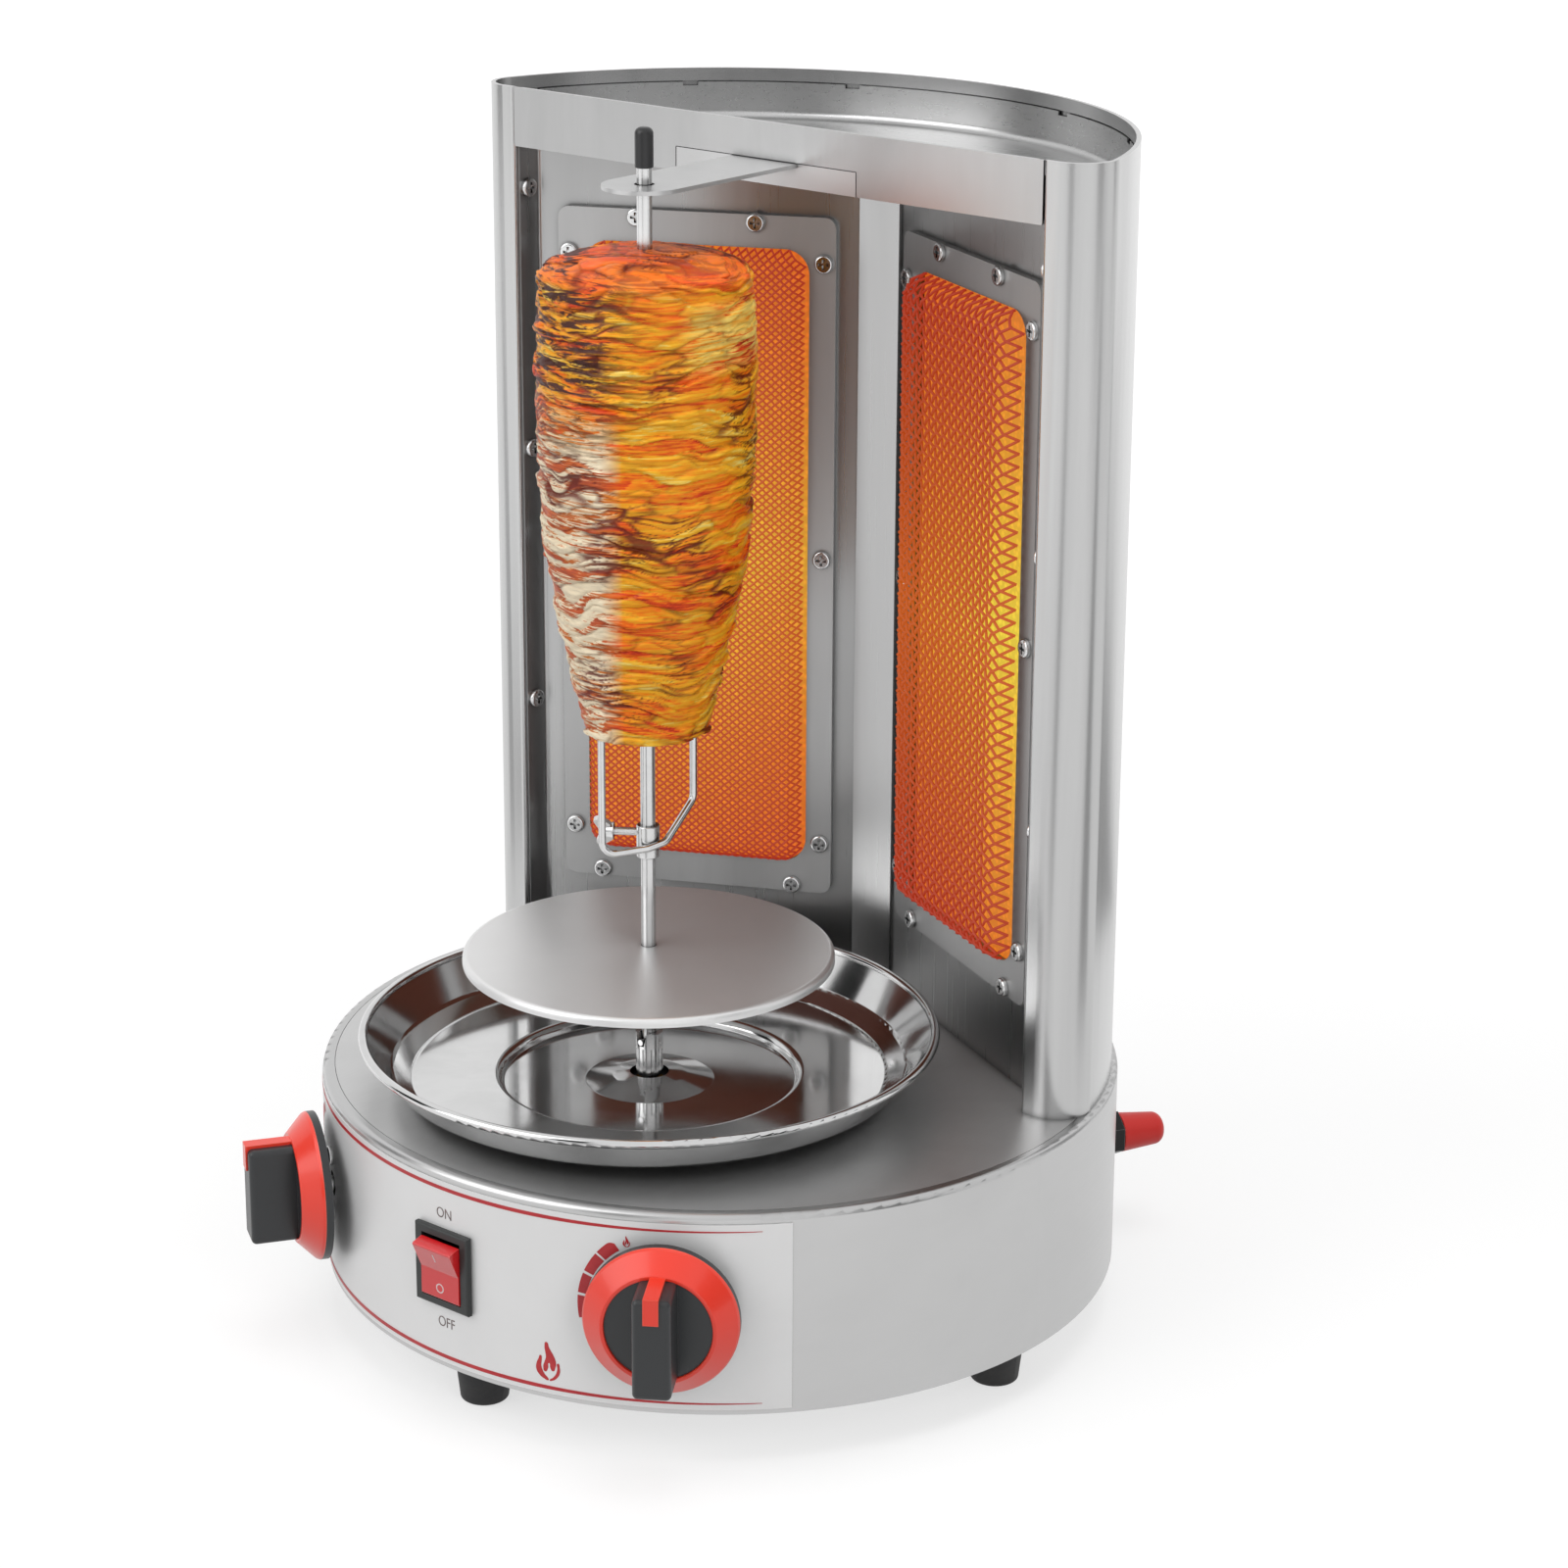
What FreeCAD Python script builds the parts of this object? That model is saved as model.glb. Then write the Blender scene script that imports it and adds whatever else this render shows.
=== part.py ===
import FreeCAD, Part
import math
import os

# Table-top vertical broiler: a round drum base, a curved casing with two gas burners set in a V,
# and a motor-driven spit over a drip tray. Sizes are in millimetres, +Z is up and -Y is the front.
# The origin is on the axis of the drum, in the plane that the feet stand on.

Vec = FreeCAD.Vector

# Clearances
RUN_FIT = 0.05          # round parts that turn or slide in each other
SLIP_FIT = 0.2          # parts that drop in, and holes round screws
BODY_GAP = 0.3          # free faces of parts that move apart

# Drum base
DRUM_R = 155.0          # outside radius of the drum wall
DRUM_H = 78.5           # from the lower edge of the drum to its deck
FOOT_H = 19.0           # rubber feet, from the table to the drum
SHEET = 1.0             # steel sheet of the drum and the casing
LIP_W = 4.5             # rolled lip round the deck
LIP_BEND = 2.5          # outside radius of the rolled lip
LEDGE_W = 7.0           # ledge under the edge of the deck
DECK_T = 1.2            # deck plate
COVER_RIM = 6.0         # upstand of the bottom cover
VENT_COUNT = 10         # cooling slots in the bottom cover
VENT_R = 60.0
VENT_L = 22.0
VENT_W = 4.0

# Feet
FOOT_COUNT = 4
FOOT_INSET = 19.0       # feet inside the edge of the drum
FOOT_TOP_R = 11.2
FOOT_TIP_R = 9.0
FOOT_CUP_R = 4.8        # recess for the screw head
FOOT_CUP_H = 10.0

# Front label
LABEL_T = 0.4           # with its glue
LABEL_GLUE = 0.03
LABEL_HALF_DEG = 50.0
LABEL_MARGIN = 2.0      # bare wall above and below the label

# Valves and knobs
KNOB_DEG = 33.0         # each side of the front
KNOB_Z = 60.0
KNOB_TRAVEL = 2.5       # push before the knob turns
KNOB_STANDOFF = 5.0     # from the label to the back of the knob
KNOB_R = 28.5
KNOB_BACK_T = 3.0       # black backing disc
KNOB_CONE_H = 8.0       # red conical ring
KNOB_HUB_R = 19.5       # inside radius of the red ring
KNOB_HUB_SINK = 1.0     # black face below the red ring
GRIP_W = 14.0
GRIP_L = 38.5
GRIP_H = 18.0           # grip bar above the black face
GRIP_ROUND = 2.0
POINTER_W = 5.6
POINTER_T = 2.4
POINTER_REACH = 10.0    # pointer over the front of the grip
STEM_R = 3.0
STEM_FLAT = 1.0         # flat on the stem inside the grip
STEM_IN = 24.0          # stem behind the label
STEM_OUT = 22.0         # stem in front of the label
VALVE_R = 9.0
VALVE_DEPTH = 34.0
VALVE_WALL = 2.0
VALVE_PORT_R = 5.4
VALVE_FLANGE_W = 14.0
VALVE_FLANGE_H = 32.0
VALVE_FLANGE_T = 2.0
VALVE_SCREW_Z = 11.5    # each side of the stem
PLUNGER_L = 10.0
PLUNGER_WALL = 2.0
PLUNGER_DEPTH = 10.0    # front of the plunger behind the label

# Screws
SCREW_R = 2.0
HEAD_R = 3.7
HEAD_H = 2.0
CROSS_W = 1.1
CROSS_L = 4.2
CROSS_H = 1.1

# Rocker switch
BEZEL_W = 26.5
BEZEL_H = 31.0
BEZEL_T = 2.4
WINDOW_W = 19.5
WINDOW_H = 25.0
ROCKER_GAP = 0.35
ROCKER_TURN = 24.0
ROCKER_ARM = 11.4       # half length of the rocker
ROCKER_RISE = 3.6       # middle of the rocker in front of its pivot
SWITCH_WALL = 1.2
SWITCH_DEPTH = 20.0
PIVOT_R = 1.2
TAG_W = 5.0
TAG_L = 8.0

# Gas line
PIPE_R = 4.0
ELBOW_R = 4.8           # brazed corners of the pipe
MANIFOLD_INSET = 28.0   # pipe ring inside the edge of the drum
MANIFOLD_Z = 39.0
INLET_DEG = 148.0       # from the front towards the right
NIPPLE_R = 4.5
NIPPLE_BORE = 2.5
NUT_R = 9.6
NUT_L = 13.0
WASHER_T = 2.0
CAP_L = 19.0
CAP_R = 8.1
CAP_WALL = 2.5          # end of the cap
CAP_TAPER = 1.8
CAP_ROUND = 4.2
FEED_R = 3.2
FEED_BEND = 14.0
FEED_STUB = 16.0        # first run behind the valve
INJECTOR_R = 5.6
INJECTOR_NUT_R = 8.0
INJECTOR_NUT_H = 8.0
INJECTOR_TIP = 7.0      # above the deck
TUBE_R = 8.6            # mixing tube
TUBE_WALL = 1.2
TUBE_FOOT_R = 13.0
AIR_PORT_R = 4.0
AIR_PORT_Z = 16.0       # above the deck

# Mains entry
GLAND_DEG = -148.0
GLAND_BORE = 3.6
GLAND_R = 6.5
GLAND_FLANGE_R = 9.5
GLAND_IN = 9.0
GLAND_OUT = 12.0
WIRE_R = 1.6
LEAD_BEND = 8.0
LEAD_INSET = 5.0        # mains lead inside the pipe ring
LEAD_PLACES = ((-100.0, 13.0, 0.0), (-55.0, 19.5, 6.0))    # degrees, inside the pipe ring, above it
LEAD_SLACK = 8.0        # beside the switch tags
LEAD_RUN = 10.0         # behind the switch tags
LEAD_SIDE = 18.0        # entry of the lead beside the motor's middle
MOTOR_LEAD_BEND = 3.0

# Drive
SPIT_Y = -42.0          # spit axis in front of the drum axis
MOTOR_R = 30.0
GEARBOX_H = 18.0
MOTOR_H = 30.0
MOTOR_DROP = 11.0       # motor bracket below the deck
BRACKET_T = 1.5
BRACKET_W = 44.0
BRACKET_SPAN = 126.0
BRACKET_FOOT = 14.0
MOTOR_SCREW_X = 22.0
SHAFT_R = 3.5
BUSH_R = 6.0
BUSH_FLANGE_R = 9.0
BUSH_FLANGE_T = 2.0
SOCKET_R = 5.2
SOCKET_Z = 101.0
SOCKET_TOP = 118.0
SOCKET_FLUTES = 10
FLUTE_R = 0.8
SOCKET_SLOT_W = 3.0
SOCKET_SLOT_H = 5.0
SOCKET_DEPTH = 11.0     # rod inside the socket
PIN_R = 1.2             # cross pin of the rod

# Spit
ROD_R = 2.8
ROD_OVER = 20.0         # rod above the tongue
TIP_COVER = 12.5        # rod inside its cap
TIP_WALL = 0.6
TIP_CROWN = 2.0
DISC_R = 70.8
DISC_Z = 150.0          # underside at the edge
DISC_T = 1.2
DISC_RISE = 2.0
DISC_LIP = 2.2
HUB_R = 6.5
HUB_H = 8.0
HUB_SCREW_R = 1.5
MEAT_BASE = 240.0
MEAT_ROOM = 21.5        # between the meat and the tongue
MEAT_RADII = (24.5, 29.5, 35.0, 38.8, 40.6, 41.2, 40.0, 33.5)
MEAT_BORE_GAP = 0.4

# Fork
COLLAR_R = 4.4
COLLAR_Z = 189.0
COLLAR_H = 12.5
PRONG_R = 1.4
PRONG_REACH = 19.0      # from the rod to each prong
PRONG_DEG = 67.0
PRONG_TOP = 300.0
PRONG_FOOT = 192.0
PRONG_ELBOW = 209.0
PRONG_BEND = 5.0
THUMB_DEG = 213.7
THUMB_R = 1.5
THUMB_Z = 198.5
THUMB_START = 13.0      # head from the rod axis
THUMB_HUB_R = 3.4
THUMB_HUB_L = 5.5
WING_R = 8.2
WING_T = 1.8
WING_LEAN = 2.0

# Drip tray
TRAY_RIM_R = 111.0
TRAY_RIM_Z = 119.0
TRAY_BEAD = 1.7
TRAY_T = 0.8
TRAY_LIFT = 0.2         # tray above the deck
TRAY_WELL_R = 56.5
TRAY_STEP_Z = 102.2
TRAY_FLOOR_R = 91.0
TRAY_FOOT_R = 99.0
TRAY_FOOT_Z = 105.5
DOME_R = 24.6
DOME_H = 3.0
DOME_BEND = 14.0
DOME_HOLE_R = 7.4

# Casing
CASE_TOP = 458.0
CASE_INSET = 2.5        # casing inside the edge of the drum
FACE_Y = 25.0           # plane of the front columns
COLUMN_W = 25.5         # from the opening to the outside of the casing
COLUMN_BEND = 14.0
RETURN_L = 13.0         # side walls behind the front columns
RETURN_BEND = 1.5
HEM_H = 5.0
BASE_FLANGE_W = 8.0
BASE_SCREW_DEG = (112.0, 146.0, 180.0, 214.0, 248.0)
COLUMN_SCREW_DROP = (228.5, 123.5, 18.5)    # below the ceiling
SCREW_RUN = 5.0         # free run of a screw beside its sheet

# Top of the cooking recess
CEILING_DROP = 21.5     # underside of the ceiling below the top of the casing
CEILING_T = 1.0
BAND_DROP = 1.5         # lower edge of the front band below the ceiling
BAND_FLANGE = 9.0
BAND_HEM = 3.0
NOTCH_HALF = 43.5
NOTCH_H = 9.3
BRACE_T = 1.5           # spit bracket
TONGUE_RISE = 6.0       # tongue above the underside of the ceiling
TONGUE_W = 31.0
SPIT_HOLE_R = 3.7
BRACE_FOOT = 20.0
RIVET_R = 1.8
RIVET_X = 30.0
PAN_T = 0.8             # warming tray
PAN_WALL_H = 15.0
PAN_FIT = 0.4
PAN_BEND = 3.6          # between wall and floor
PAN_NOTCH_W = 6.0
PAN_NOTCH_H = 1.5
PAN_NOTCH_DEG = (60.0, 85.0, 110.0, 135.0, 160.0, 200.0, 225.0, 250.0, 275.0, 300.0)

# Inner panels
PANEL_T = 0.8
APEX_Y = 95.0           # front of the panels behind the drum axis, at the middle strip
STRIP_HALF = 9.7
STRIP_GAP = 0.6
PANEL_BEND = 1.4

# Burners
FRAME_W = 112.0
FRAME_H = 278.0
FRAME_SHIFT = 4.8       # middle of the frame above the middle of the recess
FRAME_RISE = 3.2        # face of the frame in front of the panel
FRAME_T = 1.0
FRAME_ROUND = 4.5
MESH_W = 91.0
MESH_H = 252.0
MESH_RISE = 9.0         # crown of the mesh in front of the frame
MESH_T = 1.0
MESH_ROUND = 10.0
MESH_EDGE = 7.0
MESH_FLANGE = 3.5
TILE_W = 92.0
TILE_H = 132.0
TILE_T = 12.0
TILE_BACK = 1.0         # tiles behind the face of the panel
TILE_FIT = 0.5
TILE_COUNT = 2
GASKET_T = 2.0
GASKET_W = 4.0
BOX_T = 1.0
BOX_ROOM = 3.75         # between the back corner of the box and the casing
BOX_FLANGE_OVER = 1.0   # flange of the box beside the frame
FRAME_SCREW_EDGE = 4.5  # side screws inside the edge of the frame
FRAME_SCREW_LOW = 21.5
FRAME_SCREW_MID = 2.0
FRAME_SCREW_HIGH = 18.0
FRAME_SCREW_TOP_X = 24.0
FRAME_SCREW_LOW_X = 40.0
FRAME_SCREW_END = 3.0   # end screws inside the edge of the frame
FRAME_SCREW_L = 7.5

# Worked-out sizes
DECK_Z = FOOT_H + DRUM_H
DECK_R = DRUM_R - LIP_W
LABEL_R = DRUM_R + LABEL_T
FOOT_RING_R = DRUM_R - FOOT_INSET
MANIFOLD_R = DRUM_R - MANIFOLD_INSET
CASE_R = DRUM_R - CASE_INSET
OPENING_HALF = CASE_R - COLUMN_W
CEILING_Z = CASE_TOP - CEILING_DROP
CEILING_TOP = CEILING_Z + CEILING_T
COLUMN_SCREW_Z = [CEILING_Z - drop for drop in COLUMN_SCREW_DROP]
TONGUE_Z = CEILING_Z + TONGUE_RISE
ROD_TOP = TONGUE_Z + ROD_OVER
TIP_Z = ROD_TOP - TIP_COVER
MEAT_TOP = TONGUE_Z - MEAT_ROOM
FRAME_MID_Z = (DECK_Z + CEILING_Z) / 2 + FRAME_SHIFT
CAP_START = WASHER_T + NUT_L
KNOB_HUB_K = KNOB_STANDOFF + KNOB_BACK_T + KNOB_CONE_H - KNOB_HUB_SINK
GRIP_K = KNOB_HUB_K + GRIP_H
PANEL_X0 = OPENING_HALF - PANEL_T
PANEL_Y0 = FACE_Y + RETURN_L
PANEL_X1 = STRIP_HALF + STRIP_GAP
PANEL_DEG = math.degrees(math.atan2(APEX_Y - PANEL_Y0, PANEL_X0 - PANEL_X1))
PANEL_MID_X = (PANEL_X0 + PANEL_X1) / 2
PANEL_MID_Y = (PANEL_Y0 + APEX_Y) / 2
FRAME_SCREW_X = FRAME_W / 2 - FRAME_SCREW_EDGE
FRAME_SCREW_SIDE_Z = (FRAME_SCREW_LOW - FRAME_H / 2, FRAME_SCREW_MID, FRAME_H / 2 - FRAME_SCREW_HIGH)
FRAME_SCREW_END_Z = FRAME_H / 2 - FRAME_SCREW_END
BOX_HALF_W = TILE_W / 2 + TILE_FIT
BOX_HALF_H = TILE_COUNT * TILE_H / 2 + TILE_FIT
PANEL_OUT = PANEL_MID_X * math.sin(math.radians(PANEL_DEG)) + PANEL_MID_Y * math.cos(math.radians(PANEL_DEG))
PANEL_ALONG = PANEL_MID_X * math.cos(math.radians(PANEL_DEG)) - PANEL_MID_Y * math.sin(math.radians(PANEL_DEG))
BOX_REACH = math.sqrt((CASE_R - SHEET - BOX_ROOM) ** 2 - (PANEL_ALONG + BOX_HALF_W + BOX_T) ** 2)
BOX_DEPTH = BOX_REACH - PANEL_OUT - PANEL_T


# Shape helpers
def cylinder(radius, height, x=0.0, y=0.0, z=0.0):
    return Part.makeCylinder(radius, height, Vec(x, y, z))


def block(x0, x1, y0, y1, z0, z1):
    return Part.makeBox(x1 - x0, y1 - y0, z1 - z0, Vec(x0, y0, z0))


def bar(start, end, radius):
    """Round bar between two points."""
    axis = end.sub(start)
    return Part.makeCylinder(radius, axis.Length, start, axis)


def joined(shapes):
    """One solid from touching shapes."""
    shapes = list(shapes)
    return shapes[0].multiFuse(shapes[1:]).removeSplitter()


def corner_arc(before, corner, after, radius):
    """Tangent points and middle point of the arc that rounds a corner."""
    to_start = before.sub(corner).normalize()
    to_end = after.sub(corner).normalize()
    half = to_start.getAngle(to_end) / 2
    reach = radius / math.tan(half)
    centre_dir = to_start.add(to_end).normalize()
    middle = corner.add(centre_dir * (radius / math.sin(half) - radius))
    return corner.add(to_start * reach), middle, corner.add(to_end * reach)


def path_wire(points, radii, closed):
    """Straight runs with a tangent arc at each corner whose radius isn't zero."""
    count = len(points)
    corners = []
    for index, radius in enumerate(radii):
        ends = not closed and index in (0, count - 1)
        if ends or radius <= 0:
            corners.append((points[index], None, points[index]))
        else:
            corners.append(corner_arc(points[index - 1], points[index], points[(index + 1) % count], radius))
    edges = []
    for index, (first, middle, last) in enumerate(corners):
        if middle is not None:
            edges.append(Part.Arc(first, middle, last).toShape())
        if index == count - 1 and not closed:
            break
        following = corners[(index + 1) % count][0]
        if last.distanceToPoint(following) > 1e-6:
            edges.append(Part.LineSegment(last, following).toShape())
    return Part.Wire(edges)


def plan_face(points, radii=None):
    """Flat face in the plane z = 0 from (x, y) corners."""
    radii = radii or [0] * len(points)
    return Part.Face(path_wire([Vec(x, y, 0) for x, y in points], radii, True))


def plan_solid(points, z0, z1, radii=None):
    face = plan_face(points, radii)
    face.translate(Vec(0, 0, z0))
    return face.extrude(Vec(0, 0, z1 - z0))


def upright_face(points, radii=None):
    """Flat face in the plane y = 0 from (x, z) corners."""
    radii = radii or [0] * len(points)
    return Part.Face(path_wire([Vec(x, 0, z) for x, z in points], radii, True))


def spun(points, radii=None, x=0.0, y=0.0):
    """Solid of revolution about a vertical axis from (radius, z) corners."""
    shape = upright_face(points, radii).revolve(Vec(0, 0, 0), Vec(0, 0, 1), 360)
    shape.translate(Vec(x, y, 0))
    return shape


def sheet_outline(path, bends, thick):
    """Corners and radii of a bent sheet: the path and its copy, moved to the left by the thickness."""
    normals = []
    for (ax, ay), (bx, by) in zip(path, path[1:]):
        length = math.hypot(bx - ax, by - ay)
        normals.append(((ay - by) / length, (bx - ax) / length))
    inner, inner_radii = [], []
    for index, (x, y) in enumerate(path):
        first = normals[max(index - 1, 0)]
        second = normals[min(index, len(normals) - 1)]
        scale = thick / (1 + first[0] * second[0] + first[1] * second[1])
        inner.append((x + (first[0] + second[0]) * scale, y + (first[1] + second[1]) * scale))
        turn = first[0] * second[1] - first[1] * second[0]
        bend = bends[index]
        inner_radii.append(0 if bend == 0 else bend - thick if turn > 0 else bend + thick)
    return path + inner[::-1], list(bends) + inner_radii[::-1]


def bent_sheet(path, bends, thick, z0, z1):
    outline, radii = sheet_outline(path, bends, thick)
    return plan_solid(outline, z0, z1, radii)


def pipe(points, radius, bend):
    """Round pipe along straight runs joined by tangent arcs."""
    spine = path_wire(points, [bend] * len(points), False)
    start = points[0]
    circle = Part.Wire(Part.Circle(start, points[1].sub(start), radius).toShape())
    return spine.makePipeShell([circle], True, True)


def turned(shape, degrees):
    """Copy of a shape, turned about the drum axis from the front towards the right."""
    copy = shape.copy()
    copy.rotate(Vec(0, 0, 0), Vec(0, 0, 1), degrees)
    return copy


def mirrored(shape):
    return shape.mirror(Vec(0, 0, 0), Vec(1, 0, 0))


def both_sides(shape):
    return [shape, mirrored(shape)]


def front_bar(radius, inner, outer, x=0.0, z=0.0, zero=LABEL_R):
    """Round bar pointing out of the front: distances are outwards from the radius named zero."""
    return bar(Vec(x, -(zero + inner), z), Vec(x, -(zero + outer), z), radius)


def front_block(half_w, half_h, inner, outer, z=0.0, zero=LABEL_R):
    return block(-half_w, half_w, -(zero + outer), -(zero + inner), z - half_h, z + half_h)


def ring_points(count, radius, offset=0.0):
    step = 2 * math.pi / count
    angles = [math.radians(offset) + step * index for index in range(count)]
    return [(radius * math.sin(a), -radius * math.cos(a)) for a in angles]


def pan_screw(length):
    """Pan-head screw with a cross recess: the head stands on z = 0 and the shank points down."""
    head = cylinder(HEAD_R, HEAD_H)
    head = head.makeFillet(HEAD_H * 0.45, [e for e in head.Edges if abs(e.CenterOfMass.z - HEAD_H) < 1e-6
                                            and e.Length > HEAD_R * 2 * math.pi - 0.1])
    for along_x, along_y in ((CROSS_L, CROSS_W), (CROSS_W, CROSS_L)):
        slot = block(-along_x / 2, along_x / 2, -along_y / 2, along_y / 2, HEAD_H - CROSS_H, HEAD_H + 1)
        head = head.cut(slot)
    return joined([head, cylinder(SCREW_R, length, z=-length)])


def aimed(shape, place, direction):
    """Moves a shape built along +Z so that it stands at a place and points in a direction."""
    copy = shape.copy()
    copy.Placement = FreeCAD.Placement(place, FreeCAD.Rotation(Vec(0, 0, 1), direction))
    return copy


# Drum base
def wall_holes():
    """Everything that passes through the drum wall and the label."""
    stem_hole = front_bar(STEM_R + 2, -LABEL_T - 3 * SHEET, 1, z=KNOB_Z)
    screws = [front_bar(SCREW_R + SLIP_FIT, -LABEL_T - 3 * SHEET, 1, z=KNOB_Z + side * VALVE_SCREW_Z)
              for side in (-1, 1)]
    holes = [turned(hole, side * KNOB_DEG) for side in (-1, 1) for hole in [stem_hole] + screws]
    half_w = WINDOW_W / 2 + SWITCH_WALL + SLIP_FIT
    half_h = WINDOW_H / 2 + SWITCH_WALL + SLIP_FIT
    holes.append(front_block(half_w, half_h, -LABEL_T - 3 * SHEET, 1, z=KNOB_Z))
    holes.append(turned(front_bar(NIPPLE_R + SLIP_FIT, -3 * SHEET, 1, z=MANIFOLD_Z, zero=DRUM_R), INLET_DEG))
    holes.append(turned(front_bar(GLAND_R + SLIP_FIT, -3 * SHEET, 1, z=MANIFOLD_Z, zero=DRUM_R), GLAND_DEG))
    return holes


def base_shell():
    """Drum wall with a rolled lip and a ledge that carries the deck."""
    ledge_z = DECK_Z - DECK_T
    outline = [
        (DRUM_R, FOOT_H), (DRUM_R, DECK_Z), (DECK_R, DECK_Z), (DECK_R, ledge_z),
        (DECK_R - LEDGE_W, ledge_z), (DECK_R - LEDGE_W, ledge_z - SHEET),
        (DECK_R + SHEET, ledge_z - SHEET), (DECK_R + SHEET, DECK_Z - SHEET),
        (DRUM_R - SHEET, DECK_Z - SHEET), (DRUM_R - SHEET, FOOT_H),
    ]
    radii = [0, LIP_BEND, 0, 0, 0, 0, 0, 0, LIP_BEND - SHEET, 0]
    screw_holes = [cylinder(SCREW_R + SLIP_FIT, 2 * SHEET, x, y, ledge_z - 1.5 * SHEET)
                   for x, y in base_screw_places()]
    return spun(outline, radii).cut(wall_holes() + screw_holes)


def deck_holes():
    holes = [cylinder(BUSH_R + RUN_FIT, 4 * DECK_T, 0, SPIT_Y, DECK_Z - 2 * DECK_T)]
    for side in (-1, 1):
        x, y = tube_place()
        holes.append(cylinder(INJECTOR_R + SLIP_FIT, 4 * DECK_T, side * x, y, DECK_Z - 2 * DECK_T))
    for x, y in bracket_screw_places() + base_screw_places():
        holes.append(cylinder(SCREW_R + SLIP_FIT, 4 * DECK_T, x, y, DECK_Z - 2 * DECK_T))
    return holes


def base_top_plate():
    plate = cylinder(DECK_R - SLIP_FIT, DECK_T, z=DECK_Z - DECK_T)
    return plate.cut(deck_holes())


def bottom_cover():
    """Floor of the drum with an upstand inside the wall, holes for the feet and cooling slots."""
    radius = DRUM_R - SHEET - RUN_FIT
    outline = [(0, FOOT_H), (radius, FOOT_H), (radius, FOOT_H + COVER_RIM),
               (radius - SHEET, FOOT_H + COVER_RIM), (radius - SHEET, FOOT_H + SHEET), (0, FOOT_H + SHEET)]
    cover = spun(outline, [0, 2 * SHEET, 0, 0, SHEET, 0])
    cuts = [cylinder(SCREW_R + SLIP_FIT, 3 * SHEET, x, y, FOOT_H - SHEET)
            for x, y in ring_points(FOOT_COUNT, FOOT_RING_R)]
    slot = plan_solid([(-VENT_W / 2, -VENT_R - VENT_L / 2), (VENT_W / 2, -VENT_R - VENT_L / 2),
                       (VENT_W / 2, -VENT_R + VENT_L / 2), (-VENT_W / 2, -VENT_R + VENT_L / 2)],
                      FOOT_H - SHEET, FOOT_H + 2 * SHEET)
    cuts += [turned(slot, 360 / VENT_COUNT * (index + 0.5)) for index in range(VENT_COUNT)]
    return cover.cut(cuts)


def rubber_feet():
    outline = [(SCREW_R + SLIP_FIT, FOOT_CUP_H), (FOOT_CUP_R, FOOT_CUP_H), (FOOT_CUP_R, 0), (FOOT_TIP_R, 0),
               (FOOT_TOP_R, FOOT_H), (SCREW_R + SLIP_FIT, FOOT_H)]
    radii = [0, 0, 0, 1.5, 0.8, 0]
    return [spun(outline, radii, x, y) for x, y in ring_points(FOOT_COUNT, FOOT_RING_R)]


def foot_fasteners():
    """A screw up through each foot, and its nut on the bottom cover."""
    pieces = []
    grip = FOOT_H - FOOT_CUP_H + SHEET
    nut_h = 3.2
    for x, y in ring_points(FOOT_COUNT, FOOT_RING_R):
        screw = pan_screw(grip + nut_h + 1)
        pieces.append(aimed(screw, Vec(x, y, FOOT_CUP_H), Vec(0, 0, -1)))
        nut = plan_solid([(HEAD_R * math.cos(a), HEAD_R * math.sin(a))
                          for a in [math.radians(60 * index) for index in range(6)]], 0, nut_h)
        nut = nut.cut(cylinder(SCREW_R, nut_h))
        nut.translate(Vec(x, y, FOOT_H + SHEET))
        pieces.append(nut)
    return pieces


def control_label():
    """Printed front sheet, wrapped round the drum wall."""
    low, high = FOOT_H + LABEL_MARGIN, DECK_Z - LIP_BEND - LABEL_MARGIN / 2
    back = DRUM_R + LABEL_GLUE
    sector = upright_face([(back, low), (LABEL_R, low), (LABEL_R, high), (back, high)])
    sheet = sector.revolve(Vec(0, 0, 0), Vec(0, 0, 1), 2 * LABEL_HALF_DEG)
    return turned(sheet, -90 - LABEL_HALF_DEG).cut(wall_holes())


# Valves and knobs, built at the front and turned to their place
def valve_body():
    body = front_bar(VALVE_R, -VALVE_DEPTH, valve_flange_back() + 0.5, z=KNOB_Z)
    flange = front_block(VALVE_FLANGE_W / 2, VALVE_FLANGE_H / 2, valve_flange_back(),
                         valve_flange_back() + VALVE_FLANGE_T, z=KNOB_Z)
    port_y = -(MANIFOLD_R)
    port = cylinder(VALVE_PORT_R, VALVE_R + 3, 0, port_y, KNOB_Z - VALVE_R - 3)
    shape = joined([body, flange, port])
    bore_r = STEM_R + PLUNGER_WALL + RUN_FIT
    cuts = [front_bar(bore_r, -VALVE_DEPTH + VALVE_WALL, valve_flange_back(), z=KNOB_Z),
            front_bar(STEM_R + SLIP_FIT, -VALVE_DEPTH + VALVE_WALL, 1, z=KNOB_Z)]
    cuts += [front_bar(SCREW_R, -VALVE_DEPTH, 1, z=KNOB_Z + side * VALVE_SCREW_Z) for side in (-1, 1)]
    return shape.cut(cuts)


def valve_flange_back():
    """Back of the valve flange, whose front touches the inside of the curved drum wall."""
    inside = DRUM_R - SHEET
    front = math.sqrt(inside ** 2 - (VALVE_FLANGE_W / 2) ** 2) - LABEL_R - RUN_FIT
    return front - VALVE_FLANGE_T


def valve_plunger():
    """Sleeve that slides in the valve and carries the turning stem."""
    outer = STEM_R + PLUNGER_WALL
    sleeve = front_bar(outer, -PLUNGER_DEPTH - PLUNGER_L, -PLUNGER_DEPTH, z=KNOB_Z)
    return sleeve.cut(front_bar(STEM_R + RUN_FIT, -STEM_IN - 1, 0, z=KNOB_Z))


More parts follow.
